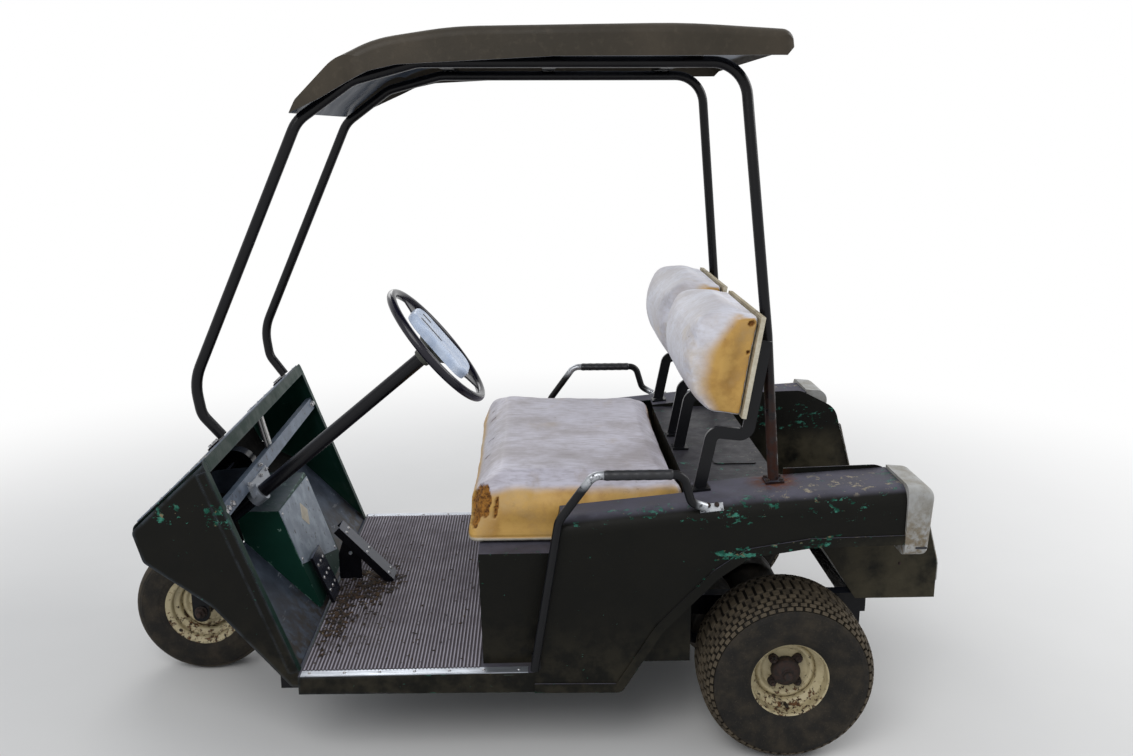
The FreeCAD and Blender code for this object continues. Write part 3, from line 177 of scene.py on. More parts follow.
def plate(centre, along, across, half_long, half_wide, thick, round_share):
    """Flat plate with round corners on a plane: its outline is a rectangle whose corners are quarter
    circles with a radius that is a share of the half width, carried up by its thickness with a small edge
    bevel."""
    radius = half_wide * round_share
    turn = np.linspace(0, math.pi / 2, 6)
    corner = np.stack([np.cos(turn), np.sin(turn)], -1) * radius
    outline = []
    for quarter, (sx, sy) in enumerate(((1, 1), (-1, 1), (-1, -1), (1, -1))):
        c, s = round(math.cos(quarter * math.pi / 2)), round(math.sin(quarter * math.pi / 2))
        outline.append(corner @ np.array([[c, s], [-s, c]]) + [sx * (half_long - radius),
                                                               sy * (half_wide - radius)])
    outline = np.concatenate(outline)
    along = np.asarray(along, float) / np.linalg.norm(along)
    across = np.asarray(across, float) / np.linalg.norm(across)
    up = np.cross(along, across)
    bevel = min(thick * 0.4, 0.0006)
    rings = []
    for inset, height in ((0, -0.0002), (0, thick - bevel), (bevel, thick)):
        share = outline * (1 - inset / np.linalg.norm(outline, axis=1, keepdims=True))
        rings.append(np.asarray(centre) + share[:, :1] * along + share[:, 1:] * across + up * height)
    count = len(outline)
    faces = [list(f)[::-1] for f in grid_faces(3, count, wrap_columns=True)]
    faces.append(list(range(count))[::-1])
    faces.append(list(range(2 * count, 3 * count)))
    return np.concatenate(rings), faces


# Shader making

def colour(text):
    """Linear colour of an sRGB hex value."""
    parts = [int(text[i:i + 2], 16) / 255 for i in (0, 2, 4)]
    return [p / 12.92 if p <= 0.04045 else ((p + 0.055) / 1.055) ** 2.4 for p in parts] + [1.0]


def add(tree, kind, inputs=None, **settings):
    """Adds one node: settings are its own values, inputs its sockets' values or the sockets that feed
    them."""
    made = tree.nodes.new("ShaderNode" + kind)
    for key, value in settings.items():
        setattr(made, key, value)
    for key, value in (inputs or {}).items():
        socket = made.inputs[key]
        if isinstance(value, bpy.types.NodeSocket):
            tree.links.new(value, socket)
        else:
            socket.default_value = colour(value) if isinstance(value, str) else value
    return made


class Finish:
    """A material under construction: places, noises, masks and mixes that end in one shader."""

    def __init__(self, name):
        self.material = bpy.data.materials.new(name)
        self.material.use_nodes = True
        self.tree = self.material.node_tree
        self.tree.nodes.clear()
        self.place = add(self.tree, "TexCoord").outputs["Object"]
        self.normal = add(self.tree, "NewGeometry").outputs["Normal"]
        parts = add(self.tree, "SeparateXYZ", {"Vector": self.place})
        self.x, self.y, self.z = parts.outputs
        facing = add(self.tree, "SeparateXYZ", {"Vector": self.normal})
        self.face_x, self.face_y, self.face_z = facing.outputs

    def speckle(self, size, detail=4.0, stretch=(1, 1, 1), rough=0.6):
        """Noise from 0 to 1 whose lumps are about size metres wide, drawn out along an axis by stretch."""
        mapped = add(self.tree, "Mapping", {"Vector": self.place, "Scale": [s / size for s in stretch]})
        noise = add(self.tree, "TexNoise", {"Vector": mapped.outputs["Vector"], "Scale": 1.0,
                                            "Detail": detail, "Roughness": rough})
        return noise.outputs["Fac"]

    def band(self, value, low, high, out_low=0.0, out_high=1.0):
        """Smooth step of a value from low to high."""
        step = add(self.tree, "MapRange", {"Value": value, "From Min": low, "From Max": high,
                                           "To Min": out_low, "To Max": out_high},
                   interpolation_type="SMOOTHSTEP")
        return step.outputs["Result"]

    def patch(self, size, detail, low, high, least=0.0, most=1.0, **grain):
        """Soft-edged patches of noise about size metres wide: least below low, most above high."""
        return self.band(self.speckle(size, detail, **grain), low, high, least, most)

    def between(self, value, low, high, soft):
        """1 where a value lies between low and high, falling to 0 over a soft margin outside."""
        return self.times(self.band(value, low - soft, low), self.band(value, high + soft, high))

    def math(self, kind, a, b=0.0):
        """One arithmetic step on two values."""
        return add(self.tree, "Math", {0: a, 1: b}, operation=kind).outputs["Value"]

    def times(self, *values):
        """Product of several masks or values."""
        total = values[0]
        for value in values[1:]:
            total = self.math("MULTIPLY", total, value)
        return total

    def either(self, *values):
        """The largest of several masks."""
        total = values[0]
        for value in values[1:]:
            total = self.math("MAXIMUM", total, value)
        return total

    def plus(self, a, b):
        """Sum of two values."""
        return self.math("ADD", a, b)

    def along(self, low, high, *out):
        """Smooth step along the cart from low to high, in mm ahead of the rear axle."""
        return self.band(self.x, ahead(low), ahead(high), *out)

    def mix(self, share, a, b):
        """Colour a going over to colour b; each is a hex value or a socket."""
        return add(self.tree, "Mix", {0: share, 6: a, 7: b}, data_type="RGBA").outputs[2]

    def edges(self, width):
        """1 along the outward and inward edges of a sheet, from normals smoothed over a width."""
        soft = add(self.tree, "Bevel", {"Radius": width}, samples=4).outputs["Normal"]
        same = add(self.tree, "VectorMath", {0: soft, 1: self.normal}, operation="DOT_PRODUCT")
        return self.band(same.outputs["Value"], 0.985, 0.85)

    def off_line(self, point, axis):
        """Distance from a line through a point."""
        away = add(self.tree, "VectorMath", {0: self.place, 1: list(point)},
                   operation="SUBTRACT").outputs["Vector"]
        square = add(self.tree, "VectorMath", {0: away, 1: list(axis)},
                     operation="CROSS_PRODUCT").outputs["Vector"]
        return add(self.tree, "VectorMath", {0: square}, operation="LENGTH").outputs["Value"]

    def finish(self, base, roughness, bump=(), metallic=0.0, specular=0.5):
        """Closes the material: base colour, roughness, bump layers (height, depth in metres), metal share
        and specular level."""
        shader = add(self.tree, "BsdfPrincipled",
                     {"Base Color": base, "Roughness": roughness, "Metallic": metallic,
                      "Specular IOR Level": specular})
        normal = None
        for height, depth in bump:
            layer = add(self.tree, "Bump", {"Height": height, "Strength": 1.0, "Distance": depth})
            if normal is not None:
                self.tree.links.new(normal, layer.inputs["Normal"])
            normal = layer.outputs["Normal"]
        if normal is not None:
            self.tree.links.new(normal, shader.inputs["Normal"])
        add(self.tree, "OutputMaterial", {"Surface": shader.outputs["BSDF"]})
        return self.material


def body_enamel():
    """Brushed-on black alkyd enamel over factory green on sheet steel: satin and a little brown, worn
    through in small flakes to the green along shoulders, arches and sheet edges, with fine scratches,
    purple-grey dust and pale peeling where the sheet faces up, brown road dust low down, and bare green
    inside the cowl."""
    f = Finish("black_over_green_enamel")
    inward = add(f.tree, "VectorMath", {0: f.place, 1: (0.1, 0, 0.45)},
                 operation="SUBTRACT").outputs["Vector"]
    outward = add(f.tree, "VectorMath", {0: f.normal, 1: inward}, operation="DOT_PRODUCT").outputs["Value"]
    inside = f.times(f.band(outward, 0.02, -0.02), f.along(1000, 1150))
    base = f.mix(inside, f.mix(f.speckle(0.09), "090a08", "151410"),
                 f.mix(f.speckle(0.12), "06211a", "0e3228"))
    side = f.math("ABSOLUTE", f.y)
    front = f.along(850, 1150)
    shoulder = f.times(f.band(side, 0.50, 0.54), f.between(f.z, 0.668, 0.715, 0.02),
                       f.along(-200, 120, 0.55, 1.0))
    arch_line = f.plus(f.z, f.times(f.math("SUBTRACT", f.x, ahead(0)), 0.12))
    arch = f.times(f.band(side, 0.55, 0.57), f.between(arch_line, 0.590, 0.612, 0.010),
                   f.between(f.x, ahead(-100), ahead(200), 0.05))
    edge = f.times(f.edges(0.008), f.band(front, 0, 1, 1.0, 0.45))
    region = f.patch(0.11, 4, 0.46, 0.60)
    likely = f.either(f.times(edge, 0.10), f.times(shoulder, 0.145),
                      f.times(f.between(side, 0.37, 0.42, 0.01), f.between(f.z, 0.62, 0.70, 0.02),
                              f.along(0, -100), 0.12), f.times(arch, 0.17),
                      f.times(f.band(f.face_z, 0.3, 0.9), 0.06),
                      f.times(f.band(f.face_z, 0.3, 0.8), f.along(-150, -240), 0.13))
    patchy = f.plus(f.speckle(0.020, 8, stretch=(0.7, 1, 1.3), rough=0.72),
                    f.times(likely, f.band(region, 0, 1, 0.35, 1.0)))
    chips = f.band(patchy, 0.665, 0.685)
    chip_tone = f.mix(f.patch(0.03, 4, 0.42, 0.6), "12493a", "3f8270")
    chip_tone = f.mix(f.patch(0.012, 6, 0.58, 0.64), chip_tone, "7d7156")
    base = f.mix(f.times(chips, f.band(inside, 0, 1, 0.9, 0.35)), base, chip_tone)
    scratch = f.times(f.patch(0.006, 3, 0.74, 0.76, stretch=(0.05, 1, 1)), f.patch(0.2, 4, 0.5, 0.6))
    base = f.mix(scratch, base, "5d6b64")
    # Blue-grey along the front sheet edges: partly dust, partly a painted highlight on the rolled bead.
    rim = f.times(front, f.edges(0.010), f.patch(0.05, 5, 0.3, 0.6))
    base = f.mix(f.times(rim, 0.5), base, "485058")
    top = f.band(f.face_z, 0.62, 0.97)
    fender = f.band(side, 0.36, 0.44, 0.28, 1.0)
    film = f.times(top, fender, f.patch(0.07, 6, 0.25, 0.7, 0.55, 1.0), f.band(chips, 0, 1, 1, 0.35))
    base = f.mix(f.times(film, 0.88), base, f.mix(f.speckle(0.2), "504f5b", "6a6874"))
    peel = f.times(top, f.patch(0.026, 8, 0.575, 0.60, rough=0.74), f.along(120, 0),
                   f.band(side, 0.42, 0.46, 0.35, 1.0))
    base = f.mix(peel, base, f.mix(f.speckle(0.01), "6f6a60", "a79c88"))
    stain = f.times(f.band(f.off_line((ahead(36), 0.445, 0.7), (0, 0, 1)), 0.085, 0.02),
                    f.band(f.z, 0.60, 0.70), f.patch(0.02, 6, 0.3, 0.55))
    base = f.mix(f.times(stain, 0.9), base, "5a3018")
    foot = f.times(f.band(f.z, 0.46, 0.20), f.patch(0.05, 6, 0.35, 0.65))
    base = f.mix(f.times(foot, 0.4), base, "3f3a2e")
    tail = f.times(f.along(-60, -240), f.band(f.z, 0.64, 0.56), f.patch(0.1, 5, 0.3, 0.6))
    base = f.mix(f.times(tail, 0.75), base, f.mix(f.speckle(0.04, 5), "3a3528", "565040"))
    rough = f.either(f.patch(0.05, 4, 0.3, 0.7, 0.36, 0.52), f.times(film, 0.8))
    return f.finish(base, rough, [(f.speckle(0.02, 3), 0.0006), (chips, -0.0004), (peel, 0.0004)],
                    specular=0.12)


def inner_enamel():
    """Factory green enamel on the sheets inside the cowl, scuffed by shoes, and grey-blue where it faces up:
    partly dust, partly painted reflection of light from above.
    """
    f = Finish("green_enamel_scuffed")
    base = f.mix(f.speckle(0.12), "09281f", "123c31")
    worn = f.band(f.plus(f.speckle(0.04, 7, rough=0.68), f.times(f.edges(0.006), 0.12)), 0.63, 0.67)
    base = f.mix(worn, base, f.mix(f.speckle(0.02), "3c7a68", "86978f"))
    # Grey-blue on upward faces: partly dust, partly painted reflection of light from above.
    up = f.times(f.band(f.face_z, 0.2, 0.9), f.patch(0.06, 6, 0.3, 0.7, 0.4, 1.0))
    base = f.mix(f.times(up, 0.8), base, "4c525c")
    return f.finish(base, 0.5, [(f.speckle(0.02, 3), 0.0006), (worn, -0.0003)], specular=0.15)


def toe_paint():
    """Toe board and horn bracket shown grey-blue: partly dust on the enamel, partly painted reflection of
    light from above; dull, streaked by shoes, and darker and browner towards the bottom.
    """
    f = Finish("toe_enamel_dust_and_painted_reflection")
    # Grey-blue base: partly dust, partly painted reflection of light from above on the sloping board.
    base = f.mix(f.patch(0.1, 5, 0.35, 0.7), "2b323e", "4b5564")
    scuff = f.patch(0.02, 6, 0.62, 0.68, stretch=(1, 0.25, 1), rough=0.7)
    base = f.mix(f.times(scuff, 0.6), base, "8a8f96")
    dirt = f.times(f.band(f.z, 0.40, 0.27), f.patch(0.03, 6, 0.35, 0.6))
    base = f.mix(dirt, base, "2a231d")
    return f.finish(base, 0.55, [(f.speckle(0.02, 4), 0.0006)], specular=0.35)


def tube_enamel():
    """Black enamel on drawn steel tube and forged bars: deep black, rust-brown low on the rear posts."""
    f = Finish("black_tube_enamel_rusting")
    low = f.times(f.band(f.z, 1.12, 0.74), f.along(420, 200), f.band(f.z, 0.55, 0.65))
    rust = f.times(low, f.patch(0.03, 6, 0.30, 0.60))
    spots = f.times(f.patch(0.012, 6, 0.67, 0.72, rough=0.7), f.band(f.z, 1.2, 0.7, 0.15, 1.0))
    rust = f.either(rust, f.times(spots, 0.8))
    base = f.mix(rust, f.mix(f.speckle(0.08), "060608", "0f0f14"),
                 f.mix(f.speckle(0.006), "241510", "3e2217"))
    top = f.times(f.band(f.face_z, 0.4, 0.95), f.band(f.z, 1.0, 0.6, 0.1, 0.5))
    tread = f.times(f.band(f.face_z, 0.2, 0.6), f.between(f.x, ahead(1060), ahead(1330), 0.02),
                    f.band(f.z, 0.5, 0.46))
    base = f.mix(f.either(top, f.times(tread, 0.8)), base, f.mix(f.speckle(0.05, 5), "3c4150", "565b69"))
    return f.finish(base, f.band(rust, 0, 1, 0.24, 0.85), [(f.speckle(0.004, 4), 0.0002)], specular=0.2)


def rail_enamel():
    """Black enamel on the hip rails and support bars, rubbed through to bright steel at the bends."""
    f = Finish("black_rail_enamel_rubbed")
    bend = f.either(f.times(f.between(f.x, ahead(500), ahead(540), 0.03), f.band(f.z, 0.755, 0.785)),
                    f.times(f.along(262, 240), f.band(f.math("ABSOLUTE", f.y), 0.5, 0.53)))
    rubbed = f.times(bend, f.patch(0.012, 5, 0.3, 0.5))
    spots = f.patch(0.008, 6, 0.68, 0.72, rough=0.7)
    base = f.mix(spots, f.mix(f.speckle(0.05), "070709", "121317"), "4a2f20")
    base = f.mix(rubbed, base, f.mix(f.speckle(0.004), "8d9096", "c5c8cc"))
    return f.finish(base, 0.3, [(f.speckle(0.004, 4), 0.0002)], metallic=f.times(rubbed, 0.7), specular=0.22)


def tyre_rubber():
    """Aged carbon-black rubber: matt and dry. The attribute "groove" is 1 down between the blocks, which stay
    dark with packed soil; the block faces are lighter, partly road dust and partly painted highlight, and
    dust lies tan over the walls in cloudy patches."""
    f = Finish("aged_tyre_rubber")
    groove = add(f.tree, "Attribute", attribute_name="groove").outputs["Fac"]
    tread = add(f.tree, "Attribute", attribute_name="tread").outputs["Fac"]
    base = f.mix(f.speckle(0.02), "12110f", "1d1b19")
    cloud = f.patch(0.06, 6, 0.38, 0.75, 0.0, 0.55)
    base = f.mix(cloud, base, "443c30")
    # Lighter block faces on the tread: partly road dust, partly painted highlight.
    base = f.mix(f.times(tread, f.patch(0.03, 6, 0.3, 0.65, 0.35, 0.9)), base, "5b5142")
    base = f.mix(groove, base, f.mix(f.speckle(0.01), "0d0b09", "1e1a14"))
    fine = f.patch(0.004, 5, 0.55, 0.75, 0, 0.3)
    base = f.mix(fine, base, "5c5245")
    return f.finish(base, 0.75, [(f.speckle(0.003, 4), 0.0003), (f.speckle(0.02, 3), 0.0006)], specular=0.25)


def wheel_enamel():
    """Cream stoving enamel on pressed steel: chalky, blooming with rust from its edges and low side."""
    f = Finish("cream_wheel_enamel_rusting")
    low = f.band(f.z, 0.24, 0.13)
    likely = f.plus(f.times(f.edges(0.005), 0.07), f.times(low, 0.09))
    rust = f.band(f.plus(f.speckle(0.014, 8, rough=0.72), likely), 0.60, 0.64)
    base = f.mix(f.speckle(0.03), "a99c7a", "c9bd99")
    base = f.mix(f.patch(0.03, 6, 0.45, 0.7, 0, 0.5), base, "7d6a48")
    base = f.mix(rust, base, f.mix(f.patch(0.012, 6, 0.42, 0.58, rough=0.7), "5f4026", "1c130d"))
    return f.finish(base, f.band(rust, 0, 1, 0.5, 0.9), [(f.times(rust, f.speckle(0.004)), 0.0005)])


def rusty_iron():
    """Cast and forged iron left bare: dark brown rust scale with a little orange bloom and old grease."""
    f = Finish("rusted_cast_iron")
    base = f.mix(f.patch(0.012, 8, 0.35, 0.7, rough=0.7), "15100e", "34211a")
    return f.finish(base, 0.85, [(f.speckle(0.003, 6), 0.0006)])


def oily_iron():
    """Cast iron axle and motor case: black paint under oil and road dirt."""
    f = Finish("oily_painted_iron")
    base = f.mix(f.patch(0.04, 6, 0.35, 0.7), "15130f", "3a3228")
    return f.finish(base, f.patch(0.05, 4, 0.3, 0.7, 0.4, 0.8), [(f.speckle(0.006, 5), 0.0006)])


def worn_vinyl():
    """Calendered upholstery vinyl: white top panels greyed by handling and drawn in fine lines across the
    cart, golden-tan side panels. The attribute "panel" is 1 on the sides, "torn" is 1 where brown foam
    shows, and "hem" is 1 on the turned-under pale edge."""
    f = Finish("worn_white_and_tan_vinyl")
    side, torn, hem = [add(f.tree, "Attribute", attribute_name=name).outputs["Fac"] for name in ("panel",
                                                                                                 "torn",
                                                                                                 "hem")]
    grime = f.patch(0.16, 6, 0.35, 0.7)
    fine = f.speckle(0.010, 5, stretch=(0.25, 1, 1))
    seat_top = f.band(f.z, 0.80, 0.86)
    top = f.mix(grime, f.mix(seat_top, "ccc9d4", "dfe0ea"), f.mix(seat_top, "a49da1", "c2bdc0"))
    top = f.mix(f.band(fine, 0.38, 0.75, 0.0, 0.45), top, f.mix(seat_top, "877d80", "b3aba8"))
    top = f.mix(f.patch(0.10, 5, 0.55, 0.75, 0, 0.45, stretch=(1, 0.6, 1)), top,
                f.mix(seat_top, "a08c72", "c9b48f"))
    top = f.mix(f.patch(0.02, 6, 0.64, 0.72, 0, 0.4, rough=0.7), top, "6b5d50")
    tan = f.mix(f.patch(0.06, 5, 0.4, 0.7), "c59c54", "ab8140")
    tan = f.mix(f.patch(0.02, 6, 0.6, 0.75, 0, 0.4, rough=0.7), tan, "6f5328")
    tan = f.mix(f.patch(0.12, 4, 0.5, 0.75, 0, 0.4), tan, "d3bb8c")
    base = f.mix(side, top, tan)
    base = f.mix(hem, base, f.mix(f.speckle(0.02), "b9b4a8", "8d8575"))
    foam = f.mix(f.patch(0.010, 7, 0.35, 0.62, rough=0.7), "4a2a12", "a3702f")
    base = f.mix(torn, base, foam)
    grain = f.speckle(0.0025, 3)
    crumb = f.times(torn, f.speckle(0.006, 6))
    return f.finish(base, f.band(torn, 0, 1, 0.46, 0.95),
                    [(grain, 0.00025), (fine, 0.0006), (crumb, 0.004)], specular=0.35)


def board_paint():
    """Softwood plywood boards painted cream: grain showing through, ply lines at the edges, grey hand
    marks."""
    f = Finish("cream_painted_plywood")
    grain = f.speckle(0.008, 6, stretch=(1, 0.06, 1))
    base = f.mix(f.band(grain, 0.3, 0.7), "b5ab93", "97896a")
    base = f.mix(f.patch(0.1, 5, 0.4, 0.75, 0, 0.5), base, "6d5f47")
    base = f.mix(f.times(f.band(f.math("ABSOLUTE", f.face_y), 0.5, 0.9), f.speckle(0.01)), base, "dcd6c4")
    return f.finish(base, 0.7, [(grain, 0.0004)])


def ribbed_rubber():
    """Moulded ribbed rubber matting: mauve-grey with shoe dust, darker in the grooves, brown crumbs of
    leaf."""
    f = Finish("ribbed_floor_rubber")
    groove = f.band(f.z, 0.2655, 0.2672)
    dust = f.plus(f.patch(0.08, 6, 0.3, 0.7), f.band(f.y, 0.0, 0.5, 0.0, 0.6))
    base = f.mix(groove, "3c353b", f.mix(dust, "77727c", "a19ca6"))
    near_pedals = f.times(f.along(900, 1230), f.between(f.y, -0.15, 0.40, 0.15))
    crumbs = f.band(f.plus(f.speckle(0.02, 8, rough=0.75), f.times(near_pedals, 0.08)), 0.62, 0.68)
    base = f.mix(crumbs, base, f.mix(f.speckle(0.01), "241b17", "574632"))
    wet = f.times(near_pedals, f.patch(0.12, 5, 0.45, 0.7))
    base = f.mix(f.times(wet, 0.5), base, "3a2f2b")
    return f.finish(base, 0.8, [(f.speckle(0.004, 4), 0.0004), (crumbs, 0.0015)])


def bright_aluminium(name, tone="b9bec6", dull=0.0):
    """Extruded aluminium trim, brushed by years of shoes: streaks along it, dark pits."""
    f = Finish(name)
    streak = f.speckle(0.004, 4, stretch=(0.04, 1, 1))
    base = f.mix(f.band(streak, 0.3, 0.7), tone, "8b9098")
    pits = f.patch(0.01, 6, 0.62, 0.7, rough=0.7)
    base = f.mix(f.times(pits, 0.7), base, "3d3a38")
    rough = f.band(streak, 0.3, 0.7, 0.28 + dull, 0.45 + dull)
    return f.finish(base, rough, [(streak, 0.0002)], metallic=0.75 - dull)


def brace_paint():
    """Two flat hood braces: the one on the middle painted white, the other left dark."""
    f = Finish("brace_enamel")
    base = f.mix(f.band(f.y, 0.015, 0.022), f.mix(f.speckle(0.01), "d3d3d0", "b9b8b2"), "17161a")
    return f.finish(base, 0.45, [(f.speckle(0.004, 4), 0.0002)])


def roof_shell():
    """Vacuum-formed dark plastic sheet, sun-faded outside to olive brown; grey-blue underneath, light over
    the rear and darker towards the front as painted light and shade.
    """
    f = Finish("sun_faded_roof_plastic")
    outside = f.mix(f.patch(0.3, 5, 0.35, 0.7), "312c24", "413a30")
    outside = f.mix(f.patch(0.02, 6, 0.5, 0.75, 0, 0.3), outside, "544c40")
    # Underside light over the rear and darker towards the front: painted light and shade.
    under = f.mix(f.along(300, 950), f.mix(f.speckle(0.2, 5), "868c96", "a9afb9"), "454d59")
    base = f.mix(f.band(f.face_z, -0.2, -0.45), outside, under)
    return f.finish(base, f.patch(0.1, 4, 0.3, 0.7, 0.42, 0.55), [(f.speckle(0.006, 4), 0.0004)],
                    specular=0.2)


def cap_plastic():
    """Moulded plastic end cap, bleached grey-white, dirty towards its lower edge."""
    f = Finish("bleached_cap_plastic")
    base = f.mix(f.patch(0.04, 6, 0.35, 0.7), "a3a3a1", "87837a")
    low = f.times(f.band(f.z, 0.72, 0.60), f.patch(0.02, 6, 0.4, 0.6))
    base = f.mix(f.times(low, 0.8), base, "6a5a3d")
    pits = f.patch(0.006, 5, 0.62, 0.68)
    base = f.mix(f.times(pits, 0.5), base, "4d4a45")
    return f.finish(base, 0.65, [(f.speckle(0.005, 4), 0.0005)])


def plain_plastic(name, tone, second, roughness, level=0.5):
    """Injection-moulded plastic, lightly scuffed."""
    f = Finish(name)
    base = f.mix(f.patch(0.03, 6, 0.35, 0.7), tone, second)
    scuffs = f.patch(0.01, 6, 0.62, 0.72, rough=0.7)
    base = f.mix(f.times(scuffs, 0.35), base, "6f6f74")
    rough = f.patch(0.02, 4, 0.3, 0.7, roughness, roughness + 0.15)
    return f.finish(base, rough, [(f.speckle(0.003, 3), 0.00015)], specular=level)


def wheel_plastic():
    """Hard moulded steering wheel: black-violet glossy grip and spokes, a dull grey-olive boss behind the
    pad."""
    f = Finish("black_wheel_plastic")
    boss = f.band(f.off_line(WHEEL_HUB, COLUMN_AXIS), 0.060, 0.054)
    grip = f.mix(f.speckle(0.03), "0a0914", "181624")
    base = f.mix(boss, grip, f.mix(f.speckle(0.02, 5), "34352f", "4d4f48"))
    return f.finish(base, f.band(boss, 0, 1, 0.2, 0.55), [(f.speckle(0.004, 3), 0.0001)], specular=0.35)


def scratched_paint(name, tone, second, metallic=0.2):
    """Grey painted sheet, scratched and dusty."""
    f = Finish(name)
    base = f.mix(f.patch(0.05, 6, 0.35, 0.7), tone, second)
    scratch = f.patch(0.005, 3, 0.7, 0.74, stretch=(1, 0.06, 1))
    base = f.mix(scratch, base, "a9abae")
    marks = f.patch(0.02, 7, 0.60, 0.66, rough=0.7)
    base = f.mix(marks, base, "33302e")
    return f.finish(base, 0.5, [(f.speckle(0.01, 4), 0.0004)], metallic=metallic)


def zinc_steel():
    """Zinc-plated fasteners, gone grey with light rust."""
    f = Finish("zinc_plated_steel")
    base = f.mix(f.patch(0.004, 4, 0.45, 0.7), "b4b6ba", "6b5a4a")
    return f.finish(base, 0.35, [(f.speckle(0.002, 3), 0.0001)], metallic=0.8)


def dry_leaf():
    """Dry broken leaf and bark: brown, tan and near black, rough."""
    f = Finish("dry_leaf_crumbs")
    base = f.mix(f.patch(0.012, 3, 0.40, 0.70), "17110d", "49341f")
    base = f.mix(f.patch(0.03, 3, 0.62, 0.70), base, "86765a")
    return f.finish(base, 0.9, [(f.speckle(0.002, 4), 0.0003)])


def pale_floor():
    """Plain pale matt floor that keeps the cart's shadow and goes over to white away from it, for the lens,
    in reflections and through glass."""
    f = Finish("pale_matt_floor")
    matt = add(f.tree, "BsdfDiffuse", {"Color": f.mix(f.speckle(0.5, 3), "dddcda", "e2e1df")})
    white = add(f.tree, "Emission", {"Color": (1, 1, 1, 1), "Strength": 1.0})
    rays = add(f.tree, "LightPath")
    shown = f.either(*[rays.outputs[key] for key in ("Is Camera Ray", "Is Glossy Ray",
                                                     "Is Transmission Ray")])
    far = f.band(f.off_line((0, 0, 0), (0, 0, 1)), 1.6, 4.2)
    both = add(f.tree, "MixShader", {0: f.times(shown, far), 1: matt.outputs[0], 2: white.outputs[0]})
    add(f.tree, "OutputMaterial", {"Surface": both.outputs[0]})
    return f.material


# Soft pieces

def read_points(mesh):
    """The mesh's points as an n x 3 array."""
    flat = np.empty(len(mesh.vertices) * 3)
    mesh.vertices.foreach_get("co", flat)
    return flat.reshape(-1, 3)


def write_points(mesh, points):
    """Puts an n x 3 array into the mesh's points."""
    mesh.vertices.foreach_set("co", np.asarray(points, float).ravel())
    mesh.update()


def read_normals(mesh):
    """The mesh's point normals as an n x 3 array."""
    flat = np.empty(len(mesh.vertices) * 3)
    mesh.vertices.foreach_get("normal", flat)
    return flat.reshape(-1, 3)


def baked(piece):
    """Replaces the piece's mesh by its mesh with all modifiers applied."""
    graph = bpy.context.evaluated_depsgraph_get()
    mesh = bpy.data.meshes.new_from_object(piece.evaluated_get(graph))
    piece.modifiers.clear()
    piece.data = mesh


def evenly(piece, voxel):
    """Remeshes a closed form into even small faces."""
    remesh = piece.modifiers.new("even", "REMESH")
    remesh.mode = "VOXEL"
    remesh.voxel_size = voxel
    baked(piece)


def calmed(mesh, steps, rounds):
    """One step per point, averaged with its neighbours' steps a number of rounds."""
    ends = np.empty(len(mesh.edges) * 2, int)
    mesh.edges.foreach_get("vertices", ends)
    a, b = ends.reshape(-1, 2).T
    size = len(steps)
    count = np.bincount(a, minlength=size) + np.bincount(b, minlength=size)
    for _ in range(rounds):
        total = np.stack([np.bincount(a, steps[b, k], size) + np.bincount(b, steps[a, k],
                                                                          size) for k in range(3)], -1)
        steps = steps + (total / count[:, None] - steps) * 0.5
    return steps


def swell(piece, cap, free, rounds, crease):
    """Swells a form as pressed cloth: its steps are evened out over some rounds, a share of the creases is
    kept, no point moves by more than the cap, and each moves by its own free share only."""
    cloth = piece.modifiers.new("swell", "CLOTH")
    cloth.settings.use_pressure = True
    cloth.settings.uniform_pressure_force = 4.0
    cloth.settings.effector_weights.gravity = 0
    cloth.settings.quality = 4
    scene = bpy.context.scene
    for number in range(1, 21):
        scene.frame_set(number)
    graph = bpy.context.evaluated_depsgraph_get()
    moved = read_points(piece.evaluated_get(graph).data)
    still = read_points(piece.data)
    scene.frame_set(1)
    piece.modifiers.clear()
    step = (moved - still) * free[:, None]
    step = calmed(piece.data, step, rounds) * (1 - crease) + step * crease
    length = np.linalg.norm(step, axis=1, keepdims=True)
    write_points(piece.data, still + step * np.minimum(1, cap / np.maximum(length, 1e-9)))


def smoothed(piece):
    """Adds one subdivision and shades it smooth."""
    finer = piece.modifiers.new("finer", "SUBSURF")
    finer.levels = finer.render_levels = 1
    baked(piece)
    piece.data.polygons.foreach_set("use_smooth", [True] * len(piece.data.polygons))


def crowned_form(name, outline, low_y, high_y, bow, shrink, material):
    """Closed form from a side outline (x, z) carried across the cart: over the bow's width at each end the
    outline shrinks about its middle along a quarter circle, by the shrink share at the very end."""
    outline = np.asarray(outline, float)
    middle = outline.mean(0)
    turn = np.linspace(0, math.pi / 2, 7)
    half = (high_y - low_y) / 2
    stations = [(-half + bow * (1 - math.cos(t)), 1 - (1 - math.sin(t)) * shrink) for t in turn]
    stations += [(-y, s) for y, s in stations[::-1]]
    rings = [np.column_stack([middle[0] + (outline[:, 0] - middle[0]) * s,
                              np.full(len(outline), y + (low_y + high_y) / 2),
                              middle[1] + (outline[:, 1] - middle[1]) * s]) for y, s in stations]
    count = len(outline)
    faces = [list(f) for f in grid_faces(len(rings), count, wrap_columns=True)]
    faces.append(list(range(count))[::-1])
    faces.append(list(range((len(rings) - 1) * count, len(rings) * count)))
    return mesh_piece(name, np.concatenate(rings), faces, material, "cart")


